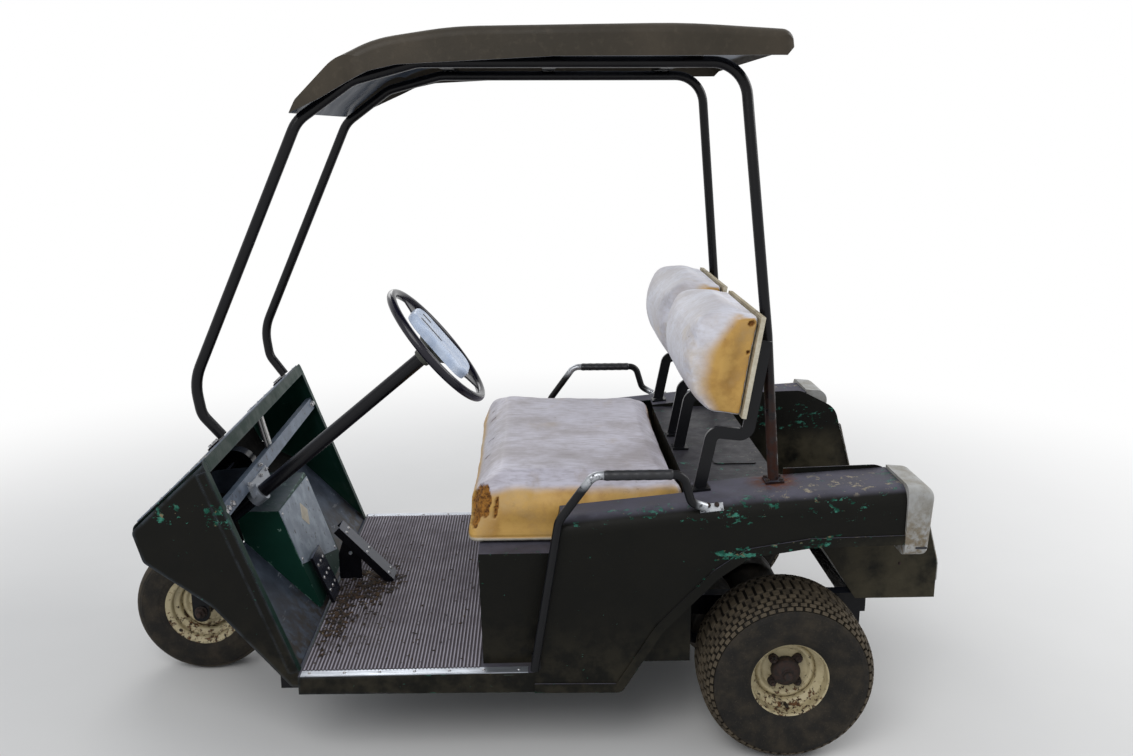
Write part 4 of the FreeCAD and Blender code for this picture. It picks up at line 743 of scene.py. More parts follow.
def rounded_outline(corners):
    """Outline through corners (x, z, radius), each turned into a quadratic curve of six points."""
    points = []
    count = len(corners)
    for i, (x, z, radius) in enumerate(corners):
        here = np.array([x, z])
        back = np.array(corners[i - 1][:2]) - here
        on = np.array(corners[(i + 1) % count][:2]) - here
        back_long, on_long = np.linalg.norm(back), np.linalg.norm(on)
        back /= back_long
        on /= on_long
        half = math.acos(np.clip(back @ on, -1, 1)) / 2
        reach = min(radius / math.tan(half), 0.48 * back_long, 0.48 * on_long)
        share = np.linspace(0, 1, 6)[:, None]
        start, end = here + back * reach, here + on * reach
        points.append((1 - share) ** 2 * start + 2 * share * (1 - share) * here + share ** 2 * end)
    return np.concatenate(points)


def set_attribute(mesh, name, values):
    """One number per point, kept on the mesh for the material."""
    kept = mesh.attributes.new(name, "FLOAT", "POINT")
    kept.data.foreach_set("value", np.asarray(values, np.float32))


def smooth_step(value, low, high):
    """0 below low, 1 above high, an even curve between."""
    t = np.clip((value - low) / (high - low), 0, 1)
    return t * t * (3 - 2 * t)


def ripple(points, size, seed, waves=5):
    """A smooth noise from -1 to 1: crossed waves of about the given size."""
    rng = np.random.default_rng(seed)
    total = np.zeros(len(points))
    for _ in range(waves):
        way = rng.normal(size=3)
        way /= np.linalg.norm(way)
        total += np.sin(points @ way * (2 * math.pi / size) * rng.uniform(0.7, 1.5) + rng.uniform(0, 6.3))
    return total / waves


def slash(points, centre, half_size, turn_xz, raggedness, seed):
    """1 inside a ragged lens round a centre, its half sizes (x, y, z) turned in the side plane."""
    gone = points - centre
    c, s = math.cos(turn_xz), math.sin(turn_xz)
    x = gone[:, 0] * c + gone[:, 2] * s
    z = -gone[:, 0] * s + gone[:, 2] * c
    reach = np.sqrt((x / half_size[0]) ** 2 + (gone[:, 1] / half_size[1]) ** 2 + (z / half_size[2]) ** 2)
    return smooth_step(1.0 - reach + raggedness * ripple(points, 0.028, seed, 9), 0.0, 0.10)


def torn_by(points, tears):
    """The deepest of several slashes: rows of (centre, half sizes, turn, raggedness, seed)."""
    return np.max([slash(points, *tear) for tear in tears], axis=0)


CUSHION_SINK = 0.022
HEM_HIGH = 0.017


def seat_cushion(material):
    """The bench cushion: low crowned top, front rolled over, tan sides with a pale turned-under hem, its
    front left corner torn open to the foam, and four short slits on the front edge."""
    low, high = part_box("seat_cushion")
    x0, x1 = low.x + 0.006, high.x - CUSHION_SINK * 0.75
    z0, z1 = low.z + 0.004, high.z - CUSHION_SINK * 0.9
    outline = rounded_outline([(x0, z0, 0.012), (x1 - 0.004, z0, 0.016), (x1, z1 - 0.075, 0.14),
                               (x1 - 0.018, z1, 0.045), (x0, z1 - 0.014, 0.035)])
    piece = crowned_form("bench_cushion", outline, low.y + CUSHION_SINK * 0.8, high.y - CUSHION_SINK * 0.8,
                         0.030, 0.07, material)
    evenly(piece, 0.0065)
    # The base is drawn out to the board under it and stays there
    points = read_points(piece.data)
    flare = smooth_step(points[:, 2] - z0, 0.075, 0.012)
    half = high.y - CUSHION_SINK * 0.8
    points[:, 1] *= 1 + flare * ((high.y - 0.006) / half - 1)
    points[:, 0] = x0 + (points[:, 0] - x0) * (1 + flare * ((high.x - 0.007 - x0) / (x1 - x0) - 1))
    write_points(piece.data, points)
    swell(piece, CUSHION_SINK, smooth_step(points[:, 2] - z0, 0.012, 0.060), 30, 0.22)
    points = read_points(piece.data)
    points = np.clip(points, np.array(low) + [0.001, -0.003, 0.001], np.array(high) + [0.003, 0.003, 0.003])
    write_points(piece.data, points)
    smoothed(piece)
    points = read_points(piece.data)
    normals = read_normals(piece.data)
    front = smooth_step(points[:, 0], high.x - 0.16, high.x - 0.02)
    edge_z = high.z - 0.030 - 0.022 * front + 0.006 * ripple(points, 0.25, 3)
    below = edge_z - points[:, 2]
    outer = np.maximum(np.abs(points[:, 1]) - (high.y - 0.045),
                       np.maximum(points[:, 0] - (high.x - 0.05), low.x + 0.03 - points[:, 0]))
    side = smooth_step(outer, 0.0, 0.02)
    seam = np.exp(-((below + 0.012) / 0.0035) ** 2) * side
    points -= normals * (seam * 0.0018)[:, None]
    # Long folds on the sides, where the cover is drawn down over the board
    fold = side * smooth_step(points[:, 2], low.z, low.z + 0.05) * smooth_step(below, -0.01, 0.03)
    points += normals * (fold * 0.0022 * ripple(points * [1.0, 1.0, 0.25], 0.075, 21))[:, None]
    hem = side * smooth_step(points[:, 2] - low.z + 0.0015 * ripple(points, 0.06, 4), 0.0165, 0.0145)
    groove = side * np.exp(-((points[:, 2] - low.z - HEM_HIGH) / 0.0025) ** 2)
    points -= normals * (groove * 0.003 - hem * 0.002)[:, None]
    tears = [((high.x - 0.030, high.y - 0.010, 0.680), (0.048, 0.080, 0.056), 0.25, 0.30, 5),
             ((high.x - 0.020, high.y - 0.010, 0.640), (0.026, 0.05, 0.034), 0, 0.3, 6),
             ((high.x - 0.086, high.y, 0.668), (0.006, 0.03, 0.040), 0.15, 0.25, 7)]
    slits = ((-0.034, 0.17, -0.013, 0.010), (-0.040, 0.02, -0.010, 0.007), (-0.036, -0.20, -0.011, 0.010),
             (-0.032, -0.31, -0.014, 0.008))
    tears += [((high.x + dx, y, high.z + dz), (0.034, wide, 0.028), 0.9, 0.2, 30 + number)
              for number, (dx, y, dz, wide) in enumerate(slits)]
    torn = torn_by(points, tears)
    lip = torn * (1 - torn) * 4
    points -= normals * (torn * (0.009 + 0.004 * ripple(points, 0.018, 8, 9)) - lip * 0.0035)[:, None]
    points = np.clip(points, np.array(low) + [0.0005, -0.004, 0.0005], np.array(high) + 0.004)
    write_points(piece.data, points)
    set_attribute(piece.data, "panel", smooth_step(below, -0.010, 0.016) * side)
    set_attribute(piece.data, "torn", smooth_step(torn, 0.35, 0.75))
    set_attribute(piece.data, "hem", hem)
    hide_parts("seat_cushion")


PAD_SINK = 0.020


def back_pad(side, material):
    """One back pad: full white front and top wrapped round, tan ends, two foam-brown holes in the outer
    end."""
    node = "back_pad_" + side
    low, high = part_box(node)
    back_low, back_high = spot(131, 0, 904), spot(91, 0, 1163)
    corners = [(132, 906, 6), (208, 914, 45), (254, 965, 70), (273, 1052, 110), (241, 1178, 55),
               (93, 1162, 12)]
    outline = rounded_outline([(ahead(x), z * MM, r * MM) for x, z, r in corners])
    piece = crowned_form("back_pad_skin_" + side, outline, low.y + PAD_SINK * 0.7, high.y - PAD_SINK * 0.7,
                         0.026, 0.06, material)
    evenly(piece, 0.005)
    # The back stays flat against its board
    points = read_points(piece.data)
    slope = (back_high[0] - back_low[0]) / (back_high[2] - back_low[2])
    deep = points[:, 0] - back_low[0] - (points[:, 2] - back_low[2]) * slope
    swell(piece, PAD_SINK, smooth_step(deep, 0.004, 0.040), 20, 0.25)
    points = read_points(piece.data)
    back_x = back_low[0] + (points[:, 2] - back_low[2]) * slope
    points[:, 0] = np.maximum(points[:, 0], back_x + 0.0008)
    points = np.clip(points, np.array(low) - 0.003, np.array(high) + 0.004)
    write_points(piece.data, points)
    smoothed(piece)
    points = read_points(piece.data)
    normals = read_normals(piece.data)
    middle = (low.y + high.y) / 2
    end = (high.y - low.y) / 2 - np.abs(points[:, 1] - middle)
    deep = points[:, 0] - back_low[0] - (points[:, 2] - back_low[2]) * slope
    height = (points[:, 2] - back_low[2]) / (back_high[2] - back_low[2])
    full = 0.085 + 0.075 * np.sin(np.clip(height, 0, 1) * math.pi)
    on_end = smooth_step(np.abs(normals[:, 1]), 0.35, 0.60)
    soft = smooth_step(full * 0.80 - deep + 0.006 * ripple(points, 0.12, 9), -0.018, 0.030)
    seam = np.exp(-((end - 0.020) / 0.003) ** 2) * smooth_step(deep, full, full * 0.5)
    points -= normals * (seam * 0.0025)[:, None]
    points += normals * (0.0016 * ripple(points * [1, 0.3, 1], 0.11, 17))[:, None]
    sign, outer_y = (1.0, high.y) if side == "left" else (-1.0, low.y)
    tears = [(spot(x, 0, z) + [0, outer_y - sign * 0.004, 0], (wide * MM, 0.02, wide * MM), 0, 0.25,
              50 + number)
             for number, (x, z, wide) in enumerate(((112, 1146, 10), (118, 1072, 7)))]
    torn = torn_by(points, tears)
    points -= normals * (torn * 0.007)[:, None]
    points = np.clip(points, np.array(low) - 0.003, np.array(high) + 0.004)
    write_points(piece.data, points)
    set_attribute(piece.data, "panel", on_end * soft)
    set_attribute(piece.data, "torn", smooth_step(torn, 0.3, 0.7))
    set_attribute(piece.data, "hem", np.zeros(len(points)))
    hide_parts(node)


# Tyres

BEAD_R = 0.1019
BEAD_IN = 0.009
TREAD_DEPTH = 0.007
TURF_ROWS = 11
TURF_PITCHES = 56
# Shares of the way from bead to bead between which the blocks stand
TREAD_SPAN = (0.245, 0.755)


def outwards(section):
    """Unit normals of a section (along the axle, radius)."""
    slope = np.gradient(section, axis=0)
    out = np.stack([-slope[:, 1], slope[:, 0]], -1)
    return out / np.linalg.norm(out, axis=1, keepdims=True)


def tyre_section(radius, width, bead_r, bead_half, rows):
    """Section from one bead over the crown to the other: a superellipse with square shoulders above
    mid-wall and a rounder one below; rows are shares of the way from bead to bead. Returns (along, radius)
    pairs."""
    middle = (radius + bead_r) / 2
    start = math.acos((bead_half / (width / 2)) ** 1.4)
    angle = -start + np.asarray(rows) * (math.pi + 2 * start)
    c, s = np.cos(angle), np.sin(angle)
    along = -np.sign(c) * np.abs(c) ** (2 / 3.4) * width / 2
    drop = (middle - bead_r) / math.sin(start) ** (2 / 2.4)
    over = middle + (radius - middle) * np.abs(s) ** (2 / 3.4)
    under = middle - drop * np.abs(s) ** (2 / 2.4)
    return np.stack([along, np.where(s > 0, over, under)], -1)


def turf_tyre(side, material):
    """Rear turf tyre: rows of small slanted blocks, every other row half a pitch on, down over the
    shoulders, and two fine moulded rings on each wall."""
    node = "rear_tyre_" + side
    low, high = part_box(node)
    rim_low, rim_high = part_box("rear_rim_" + side)
    centre = np.array((low + high) / 2)
    radius = (high.z - low.z) / 2
    in_row = np.array([0.0, 0.05, 0.5, 0.8, 0.85])
    tread = (np.arange(TURF_ROWS)[:, None] + in_row).ravel() / TURF_ROWS
    first, last = TREAD_SPAN
    share = np.concatenate([np.linspace(0, first, 22, endpoint=False), first + tread * (last - first),
                            np.linspace(last, 1, 23)])
    section = tyre_section(radius, high.y - low.y, BEAD_R, (rim_high.y - rim_low.y) / 2 - BEAD_IN, share)
    in_pitch = np.array([0, 0.03, 0.2, 0.23, 0.47, 0.5, 0.53, 0.67, 0.70, 0.73, 0.97])
    turns = (np.arange(TURF_PITCHES)[:, None] + in_pitch).ravel()
    row = np.clip((share - first) / (last - first), 0, 1 - 1e-9) * TURF_ROWS
    number = np.floor(row + 1e-6)
    across = np.round(row - number, 4)
    in_tread = (share >= first) & (share < last)
    wide = np.isin(across, [0.05, 0.5, 0.8]) & in_tread
    phase = np.round((turns[:, None] + 0.5 * (number % 2)) % 1.0, 4)
    block = (phase >= 0.03 - 1e-6) & (phase <= 0.70 + 1e-6) & wide[None]
    height = np.where(block, 0.0, -TREAD_DEPTH) * (in_tread[None] * np.ones_like(block))
    wall = np.where(in_tread, 0, 1)
    for at in (0.085, 0.20):
        height = height + 0.0012 * wall * np.exp(-((np.minimum(share, 1 - share) - at) / 0.009) ** 2)
    slant = 0.35 * (2 * np.abs(share - 0.5)) * in_tread
    angles = (turns[:, None] + slant[None]) * (2 * math.pi / TURF_PITCHES)
    out = outwards(section)
    along = section[:, 0] + out[:, 0] * height
    rad = section[:, 1] + out[:, 1] * height
    points = np.stack([centre[0] + rad * np.sin(angles), centre[1] + along,
                       centre[2] + rad * np.cos(angles)], -1)
    points = np.clip(points, np.array(low), np.array(high))
    faces = grid_faces(*points.shape[:2], wrap_rows=True, wrap_columns=True)
    piece = mesh_piece("turf_tyre_" + side, points.reshape(-1, 3), faces, material, "rear_wheel_" + side,
                       smooth=False)
    set_attribute(piece.data, "groove", smooth_step(-height, 0.3 * TREAD_DEPTH, 0.8 * TREAD_DEPTH).ravel())
    set_attribute(piece.data, "tread", (in_tread[None] * np.ones_like(height)).ravel())
    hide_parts(node)


def rib_tyre(material):
    """Front tyre: four straight grooves round a smooth crown, two fine rings on each wall."""
    low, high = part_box("front_tyre")
    rim_low, rim_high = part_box("front_rim")
    centre = np.array((low + high) / 2)
    radius = (high.z - low.z) / 2
    share = np.linspace(0, 1, 161)
    section = tyre_section(radius, high.y - low.y, BEAD_R, (rim_high.y - rim_low.y) / 2 - BEAD_IN, share)
    groove = np.zeros(len(share))
    for at in (-0.03, -0.01, 0.01, 0.03):
        groove = np.maximum(groove, np.exp(-((section[:, 0] - at) / 0.0022) ** 4))
    height = -0.005 * groove * (section[:, 1] > radius - 0.02)
    for at in (0.13, 0.25):
        height = height + 0.0012 * np.exp(-((np.minimum(share, 1 - share) - at) / 0.009) ** 2)
    angles = np.linspace(0, 2 * math.pi, 160, endpoint=False)
    points = turned_points(section + outwards(section) * height[:, None], angles, centre)
    points = np.clip(points, np.array(low), np.array(high))
    faces = grid_faces(len(angles), len(share), wrap_rows=True, wrap_columns=True)
    piece = mesh_piece("rib_tyre", points, faces, material, "front_wheel")
    set_attribute(piece.data, "groove", np.tile(groove * (section[:, 1] > radius - 0.02), len(angles)))
    set_attribute(piece.data, "tread", np.tile(0.4 * (section[:, 1] > radius - 0.015), len(angles)))
    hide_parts("front_tyre")


# Fasteners and trim. Places are in mm from the rear axle, the middle and the floor.

LEFT = (0, 1, 0)
RIGHT = (0, -1, 0)
UP = (0, 0, 1)
REARWARDS = (-0.9424, 0, 0.3346)
ALONG_DASH = (0.3346, 0, 0.9424)
OFF_HOOD = (0.6742, 0, 0.7386)
STEM_RADII = np.array([6.5, 4.5, 4.0, 3.4]) * MM
QUARTERS = np.radians([45, 135, 225, 315])


def on_hood(far, off):
    """x and z in mm at a distance down the hood from its ridge, and off its face."""
    return 1464 + 0.7386 * far + 0.6742 * off, 831 - 0.6742 * far + 0.7386 * off


def dash(up, off):
    """x and z in mm on the dash rail's face: up its slope from its middle, and rearwards off it."""
    return 1433 + 0.3346 * up - 0.9424 * off, 690 + 0.9424 * up + 0.3346 * off


def kick(z):
    """x in mm of the kick plate's rear face at a height."""
    foot_x, foot_z, run, rise, thick = 1268, 262, 202, 569, 2.5
    return foot_x + (z - foot_z) * run / rise + thick * REARWARDS[0]


def pedal(share):
    """x and z in mm up the short pedal's face."""
    return 1243.7 + 56.3 * share, 270.8 + 139 * share


def treadle(share):
    """x and z in mm up the long treadle's face."""
    return 1088 + 158 * share, 275.8 + 170 * share


def shell_top(x):
    """Height in mm of the fender's top x ahead of the axle."""
    return 722 + (x - 100) * (745 - 722) / (-271 - 100)


def wheel_fittings(iron, stem_rubber):
    """Lug nuts on the rear hubs' ears, nuts and heads round the front hub, axle nuts outside the fork, and
    a rubber valve stem in each rim."""
    for name, hand in (("left", 1), ("right", -1)):
        centre = (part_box("rear_hub_" + name)[0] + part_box("rear_hub_" + name)[1]) / 2
        rows = []
        for turn in QUARTERS:
            place = (47 * math.sin(turn), hand * 524.75, centre.z / MM + 47 * math.cos(turn))
            rows.append((nut_on_stud, place, (0, hand, 0), 17))
        rows.append((hex_bolt, (0, hand * 551.75, centre.z / MM), (0, hand, 0), 22))
        fasteners("lug_nuts_" + name, "rear_wheel_" + name, iron, rows)
        path = [spot(0, hand * y, centre.z / MM - r) for y,
                r in ((532, 92), (538, 91.5), (556, 87), (562, 85.5))]
        stem = mesh_piece("valve_stem_" + name, *tube(path, STEM_RADII), stem_rubber,
                          "rear_wheel_" + name)
    centre_z = 207.0
    rows = []
    for turn in QUARTERS:
        x, z = 1660 + 42 * math.sin(turn), centre_z + 42 * math.cos(turn)
        rows.append((nut_on_stud, (x, 3.75, z), LEFT, 15))
        rows.append((hex_bolt, (x, -9.75, z), RIGHT, 15))
    fasteners("front_wheel_nuts", "front_wheel", iron, rows)
    path = [spot(1660, y, centre_z + r) for y, r in ((24, 92), (29, 91.5), (44, 87), (49, 85.5))]
    stem = mesh_piece("valve_stem_front", *tube(path, STEM_RADII), stem_rubber, "front_wheel")
    rows = [(nut_on_stud, (1660, 80, centre_z), LEFT, 28), (nut_on_stud, (1660, -80, centre_z), RIGHT, 28)]
    fasteners("fork_axle_nuts", "fork", iron, rows)


def body_fittings(bright, iron):
    """Screws and bolts on the hood, dash, kick plate, pedals, floor strips, posts, rails and boards."""
    rows = []
    for hand in (-1, 1):
        for far in (14, 36):
            for off in (-15, 15):
                x, z = on_hood(far, 9)
                rows.append((hex_bolt, (x, hand * 350 + off, z), OFF_HOOD, 10))
        for far, y in ((22, 120), (22, 235), (22, 40)):
            x, z = on_hood(far, 3)
            rows.append((round_head, (x, hand * y, z), OFF_HOOD, 10))
        for far in np.linspace(20, 226, 7):
            x, z = on_hood(far, 3)
            rows.append((round_head, (x, hand * 513, z), OFF_HOOD, 8))
    fasteners("hood_bolts", "cart", bright, rows)
    rows = [(round_head, (x, hand * 558, 264.5), UP, 9) for hand in (-1, 1) for x in np.linspace(700, 1235,
                                                                                                 7)]
    fasteners("floor_strip_screws", "cart", bright, rows)
    rows = []
    for s, y in ((-12, 165), (10, 190), (-12, 218), (-2, 322)):
        x, z = dash(s, 15)
        rows.append((nut_on_stud, (x, y, z), REARWARDS, 9))
    for y in (-520, -500, 470, 505, 528):
        x, z = dash(0, 11)
        rows.append((hex_bolt, (x, y, z), REARWARDS, 13))
    for z, y in ((420, 188), (556, 186), (548, -128), (330, -112)):
        rows.append((round_head, (kick(z), y, z), REARWARDS, 10))
    for t in (0.22, 0.5, 0.78):
        x, z = pedal(t)
        rows += [(round_head, (x, y, z), (-0.927, 0, 0.375), 11) for y in (78, 110, 142)]
    for t in (0.10, 0.50, 0.88):
        x, z = treadle(t)
        rows += [(round_head, (x, y, z), (-0.732, 0, 0.681), 11) for y in (-30, 5)]
    fasteners("cowl_inside_bolts", "cart", bright, rows)
    rows = []
    for hand in (-1, 1):
        for x, y in ((18, 430), (54, 430), (18, 460), (54, 460)):
            rows.append((hex_bolt, (x, hand * y, shell_top(x) + 6), UP, 10))
        rows.append((round_head, (224, hand * 563.6, 707.5), (0, hand * 0.7071, 0.7071), 13))
        rows.append((round_head, (203, hand * 563.6, 708.7), (0, hand * 0.7071, 0.7071), 13))
        for z in (470, 560, 640):
            rows.append((round_head, (-330, hand * 400.2, z), (0, hand, 0), 9))
    fasteners("rear_body_bolts", "cart", iron, rows)
    rows = []
    for y in (-440, -250, -75, 75, 250, 440):
        for share in (0.12, 0.88):
            x = 131 - 40 * share - 12.5
            rows.append((round_head, (x, y, 902 + 259 * share), (-0.988, 0, -0.153), 9))
    fasteners("board_screws", "cart", bright, rows)
    rows = [(round_head, (x, y, z), UP, 16) for x, z in ((250, 1849.0), (600, 1847.0)) for y in (-400, 400)]
    fasteners("roof_screws", "cart", iron, rows)


LABEL_Z = 492.0
PAD_RISE = 0.024


def small_plates(label, dark):
    """Blank diamond label on the kick plate, and dark plates for the slots in the fender caps and in the
    wheel's pad: painted shade of the recesses.
    """
    centre = spot(kick(LABEL_Z), 18, LABEL_Z)
    diagonal = np.array(ALONG_DASH) + np.array([0, 1, 0])
    other = np.array([0, 1, 0]) - np.array(ALONG_DASH)
    piece = mesh_piece("blank_label", *plate(centre, diagonal, other, 0.027, 0.027, 0.0010, 0.15), label,
                       "cart",
                       smooth=False)
    # Dark plates standing for the recessed slots in the fender caps: painted shade.
    made = []
    for hand in (-1, 1):
        centre = spot(-312, hand * 583, 592)
        made.append(plate(centre, (-hand, 0, 0), UP, 0.015, 0.0028, 0.0010, 0.95))
    piece = mesh_piece("cap_slot_shade", *joined(made), dark, "cart", smooth=False)
    # Dark plates standing for the recessed slots in the wheel's pad: painted shade.
    up = np.array([COLUMN_AXIS[2], 0, -COLUMN_AXIS[0]])
    across = np.cross(COLUMN_AXIS, up)
    made = []
    for along, side, half in ((44, 34, 40), (70, -18, 16)):
        centre = WHEEL_HUB + COLUMN_AXIS * PAD_RISE + up * along * MM + across * side * MM
        made.append(plate(centre, up, across, half * MM, 0.0035, 0.0012, 0.95))
    piece = mesh_piece("pad_slot_shade", *joined(made), dark, "steering_wheel", smooth=False)


def rail_sleeves(material):
    """Black sleeve on the level run of each hip rail: a tube a little larger than the rail, tapered at its
    ends and uneven from handling."""
    share = np.linspace(0, 1, 60)
    for name, hand in (("left", 1), ("right", -1)):
        path = np.array([spot(318 + 168 * t, hand * 590.3, 797) for t in share])
        radius = 0.0128 + 0.0003 * np.sin(share * 41) - 0.0012 * (smooth_step(share, 0.97, 1.0)
                                                                  + smooth_step(share, 0.03, 0.0))
        piece = mesh_piece("rail_sleeve_" + name, *tube(path, radius, 20), material, "cart")


def dished_panel(corners, y0, y1, steps=16):
    """Stiff panel 3 mm thick that follows a line of (x, z) corners in mm across the cart, dished between
    them."""
    corners = np.asarray(corners, float)
    run = np.concatenate([[0], np.cumsum(np.linalg.norm(np.diff(corners, axis=0), axis=1))])
    share = np.linspace(0, run[-1], steps)[:, None]
    x, z = [np.interp(share, run, column) for column in corners.T]
    y = np.linspace(y0, y1, steps)[None]
    sag = 6 * np.sin(share / run[-1] * math.pi) * (1 + 0.4 * np.sin(y / 31 + share / 40))
    top = np.stack([x + 0 * y, y + 0 * x, z - sag], -1)
    rings = np.concatenate([top, (top - [-0.7, 0, 3])[:, ::-1]], 1)
    faces = [list(f) for f in grid_faces(steps, 2 * steps, wrap_columns=True)]
    faces.append(list(range(2 * steps)))
    faces.append(list(range((steps - 1) * 2 * steps, steps * 2 * steps))[::-1])
    return rings.reshape(-1, 3) * MM + [AXLE_X, 0, 0], faces


def shade_panels(material):
    """Stiff rubber panels that close the cowl from the toe board and the wheel housing to the hood's front
    lip, with an upright panel on each side of the housing: dark sheets put in as painted shade inside the
    cowl."""
    # Dark panels standing for the shade inside the cowl.
    toe, nose = (1481, 484), [(1612, 559), (1636, 614), (1648, 637)]
    made = [dished_panel([toe] + nose, 202, 538), dished_panel([toe] + nose, -538, -143),
            dished_panel([(1501, 572), (1600, 585)] + nose[1:], -139, 198)]
    share = np.linspace(0, 1, 12)[:, None]
    for y in (198.5, -142.5):
        low = np.stack([1480 + 132 * share, y + 0 * share, 483 + 73 * share], -1)
        high = np.stack([1498 + 114 * share, y + 0 * share, 571 + 9 * share], -1)
        rings = np.concatenate([low, high, high + [0, 3, 0], low + [0, 3, 0]], 1)
        faces = [list(f)[::-1] for f in grid_faces(12, 4, wrap_columns=True)] + [[3, 2, 1, 0],
                                                                                 [44, 45, 46, 47]]
        made.append((rings.reshape(-1, 3) * MM + [AXLE_X, 0, 0], faces))
    piece = mesh_piece("shade_panels", *joined(made), material, "cart")


def leaf_litter(material):
    """Dry crumbs of leaf on the mat: each is a curled lozenge of six outline points closed above and below;
    they lie thickest round the pedals."""
    rng = np.random.default_rng(12)
    count = 620
    where = rng.random(count)
    heap, drift = where < 0.5, (where >= 0.5) & (where < 0.8)
    x = np.where(heap, rng.normal(1150, 38, count), np.where(drift, rng.normal(1215, 22, count),
                                                             rng.uniform(830, 1240, count)))
    y = np.where(heap, rng.normal(30, 75, count), np.where(drift, rng.normal(230, 110, count),
                                                           rng.uniform(-500, 520, count)))
    x, y = np.clip(x, 830, 1242), np.clip(y, -500, 525)
    size = rng.uniform(3.0, 12, count) * np.where(heap | drift, 1.1, 0.55)
    turn = rng.uniform(0, 2 * math.pi, count)
    flat = np.array([(1, 0), (0.35, 0.42), (-0.5, 0.36), (-1, 0), (-0.45, -0.4), (0.4, -0.42)])
    outline = flat[None] * size[:, None, None] * (1 + 0.25 * rng.normal(size=(count, 6, 1)))
    c, s = np.cos(turn)[:, None], np.sin(turn)[:, None]
    px = x[:, None] + outline[..., 0] * c - outline[..., 1] * s
    py = y[:, None] + outline[..., 0] * s + outline[..., 1] * c
    pz = 267.9 + rng.uniform(0, 0.35, (count, 6)) * size[:, None]
    top = np.stack([x, y, 268.6 + 0.22 * size], -1)[:, None]
    bottom = np.stack([x, y, 267.6 + 0 * size], -1)[:, None]
    points = np.concatenate([np.stack([px, py, pz], -1), top, bottom], 1)
    points = points * MM + [AXLE_X, 0, 0]
    ring = np.arange(6)
    faces = np.concatenate([np.stack([ring, (ring + 1) % 6, np.full(6, 6)], -1),
                            np.stack([(ring + 1) % 6, ring, np.full(6, 7)], -1)])
    faces = (faces[None] + np.arange(count)[:, None, None] * 8).reshape(-1, 3)
    piece = mesh_piece("leaf_litter", points.reshape(-1, 3), faces, material, "cart", smooth=False)


# Scene

def set_stage():
    """Pale floor, soft lamps and a world that lights the cart and shows white."""
    mesh = bpy.data.meshes.new("floor_sheet")
    reach = 30.0
    mesh.from_pydata([(-reach, -reach, 0), (reach, -reach, 0), (reach, reach, 0), (-reach, reach, 0)], [],
                     [(0, 1, 2, 3)])
    floor = bpy.data.objects.new("floor_sheet", mesh)
    bpy.context.scene.collection.objects.link(floor)
    mesh.materials.append(pale_floor())
    world = bpy.data.worlds.new("soft_studio")
    bpy.context.scene.world = world
    world.use_nodes = True
    tree = world.node_tree
    tree.nodes.clear()
    rays = add(tree, "LightPath")
    shown = add(tree, "Math", {0: rays.outputs["Is Camera Ray"], 1: rays.outputs["Is Transmission Ray"]},
                operation="MAXIMUM")
    shown = add(tree, "Math", {0: shown.outputs["Value"], 1: rays.outputs["Is Glossy Ray"]},
                operation="MAXIMUM")
    light = add(tree, "Background", {"Color": "e9edf3", "Strength": 0.62})
    white = add(tree, "Background", {"Color": (1, 1, 1, 1), "Strength": 1.0})
    both = add(tree, "MixShader", {0: shown.outputs["Value"], 1: light.outputs[0], 2: white.outputs[0]})
    add(tree, "OutputWorld", {"Surface": both.outputs[0]})
    # Lamps: name, place, aim, size, power
    lamps = (("key_lamp", (1.2, 3.4, 3.8), (0, 0, 0.6), 2.6, 85),
             ("rear_lamp", (-3.6, -0.6, 3.0), (-0.4, 0, 0.6), 2.2, 60),
             ("far_lamp", (1.5, -3.6, 3.2), (0, 0, 0.6), 2.4, 45))
    for name, place, aim, size, power in lamps:
        data = bpy.data.lights.new(name, "AREA")
        data.shape = "SQUARE"
        data.size = size
        data.energy = power
        lamp = bpy.data.objects.new(name, data)
        bpy.context.scene.collection.objects.link(lamp)
        lamp.location = place
        lamp.rotation_euler = (Vector(aim) - Vector(place)).to_track_quat("-Z", "Y").to_euler()


PHOTO_WIDE = 1133
FOCAL_PIXELS = 1033.2
SENSOR = 36.0


def set_camera():
    """The lens at the place, turn and focal length worked out from the picture's known points."""
    place = Vector((-0.062, 2.970, 1.614))
    yaw, pitch, roll = math.radians(-1.87), math.radians(13.52), math.radians(-0.17)
    aim = Vector((math.sin(yaw) * math.cos(pitch), -math.cos(yaw) * math.cos(pitch), -math.sin(pitch)))
    right = Vector((-math.cos(yaw), -math.sin(yaw), 0))
    up = right.cross(aim)
    turned_right = right * math.cos(roll) + up * math.sin(roll)
    turned_up = up * math.cos(roll) - right * math.sin(roll)
    data = bpy.data.cameras.new("lens")
    data.sensor_width = SENSOR
    data.lens = SENSOR * FOCAL_PIXELS / PHOTO_WIDE
    camera = bpy.data.objects.new("camera", data)
    bpy.context.scene.collection.objects.link(camera)
    turn = Matrix((turned_right, turned_up, -aim)).transposed()
    camera.matrix_world = Matrix.Translation(place) @ turn.to_4x4()
    bpy.context.scene.camera = camera


def dress(material, *names):
    """Gives CAD nodes a material."""
    for name in names:
        mesh = NODES[name].data
        mesh.materials.clear()
        mesh.materials.append(material)


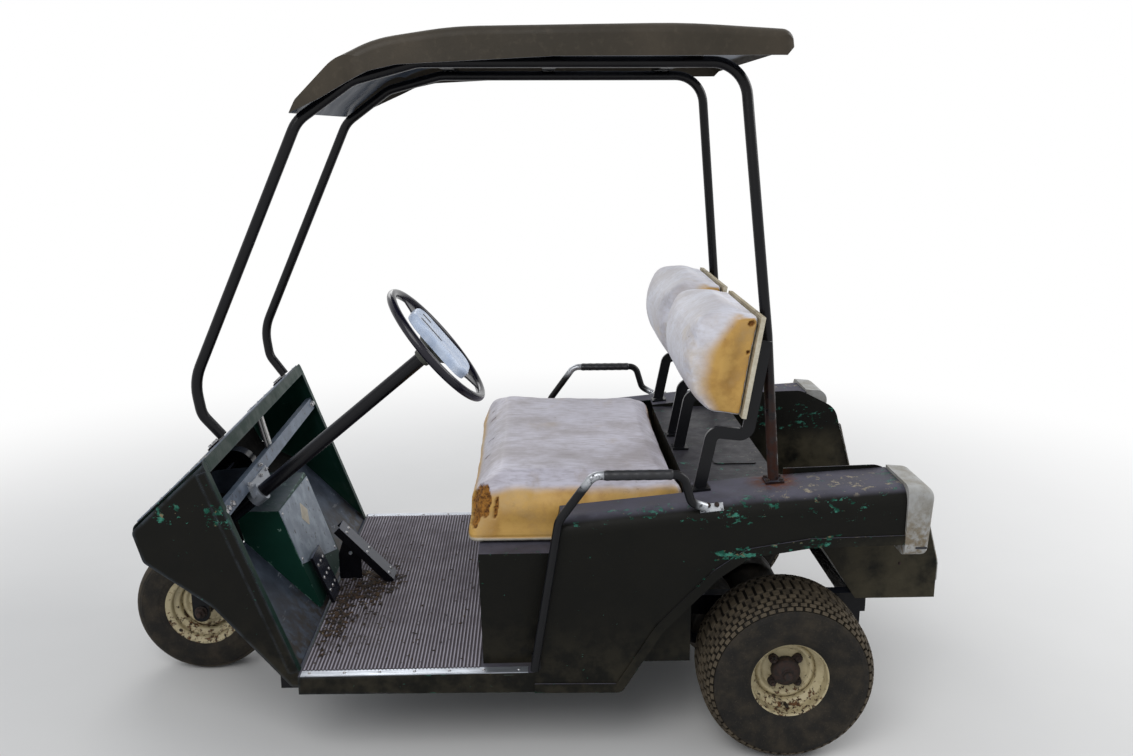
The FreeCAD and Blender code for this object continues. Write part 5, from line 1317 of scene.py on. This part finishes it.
dress(body_enamel(), "cowl_hood", "cowl_side_left", "cowl_side_right", "body_side_left", "body_side_right",
      "bag_well", "rear_deck", "seat_box", "floor_pan")
dress(inner_enamel(), "wheel_housing")
dress(toe_paint(), "toe_board", "horn_bracket")
dress(tube_enamel(), "chassis_rails", "cross_members", "front_neck", "front_fork", "canopy_hoop_left",
      "canopy_hoop_right", "roof_bars", "steering_column", "steering_box", "pitman_arm", "drag_link",
      "pedals",
      "leaf_springs", "horn")
dress(rail_enamel(), "arm_rails", "back_supports")
rubber = tyre_rubber()
iron = rusty_iron()
bright = zinc_steel()
dark_plastic = plain_plastic("black_sleeve_vinyl", "0d0e12", "191b22", 0.3)
dress(rubber, "rear_tyre_left", "rear_tyre_right", "front_tyre")
dress(wheel_enamel(), "rear_rim_left", "rear_rim_right", "front_rim")
dress(iron, "rear_hub_left", "rear_hub_right", "rear_drum_left", "rear_drum_right", "front_hub", "front_axle")
dress(oily_iron(), "rear_axle", "drive_motor")
dress(board_paint(), "back_boards")
dress(ribbed_rubber(), "floor_mat")
dress(bright_aluminium("bright_edge_aluminium"), "edge_strips")
dress(bright_aluminium("grey_hood_aluminium", "6d7a8d", 0.25), "hood_strips")
dress(bright_aluminium("dull_clamp_aluminium", "8f949c", 0.1), "column_clamp")
dress(brace_paint(), "hood_braces")
dress(roof_shell(), "canopy_roof")
cap = cap_plastic()
dress(cap, "fender_caps", "well_edge_strips")
dress(wheel_plastic(), "steering_wheel")
dress(plain_plastic("pale_pad_plastic", "b9c8e0", "d3deef", 0.35), "wheel_pad")
dress(scratched_paint("dull_kick_plate", "75808d", "939eab"), "kick_plate")
dress(scratched_paint("grey_dash_paint", "535e6e", "6d7a8c"), "dash_rail")
dress(plain_plastic("black_battery_case", "101012", "1c1b1b", 0.5), "battery_pack")

vinyl = worn_vinyl()
seat_cushion(vinyl)
for hand in ("left", "right"):
    back_pad(hand, vinyl)
    turf_tyre(hand, rubber)
rib_tyre(rubber)
wheel_fittings(iron, rubber)
body_fittings(bright, iron)
small_plates(plain_plastic("blank_label_paper", "c9c2b2", "b4ab98", 0.6), dark_plastic)
rail_sleeves(dark_plastic)
# Black panels inside the cowl: painted shade.
shade_panels(plain_plastic("black_painted_shade_rubber", "0a0a0b", "161513", 0.7, 0.15))
leaf_litter(dry_leaf())

set_stage()
set_camera()
bpy.context.scene.view_settings.view_transform = "Standard"
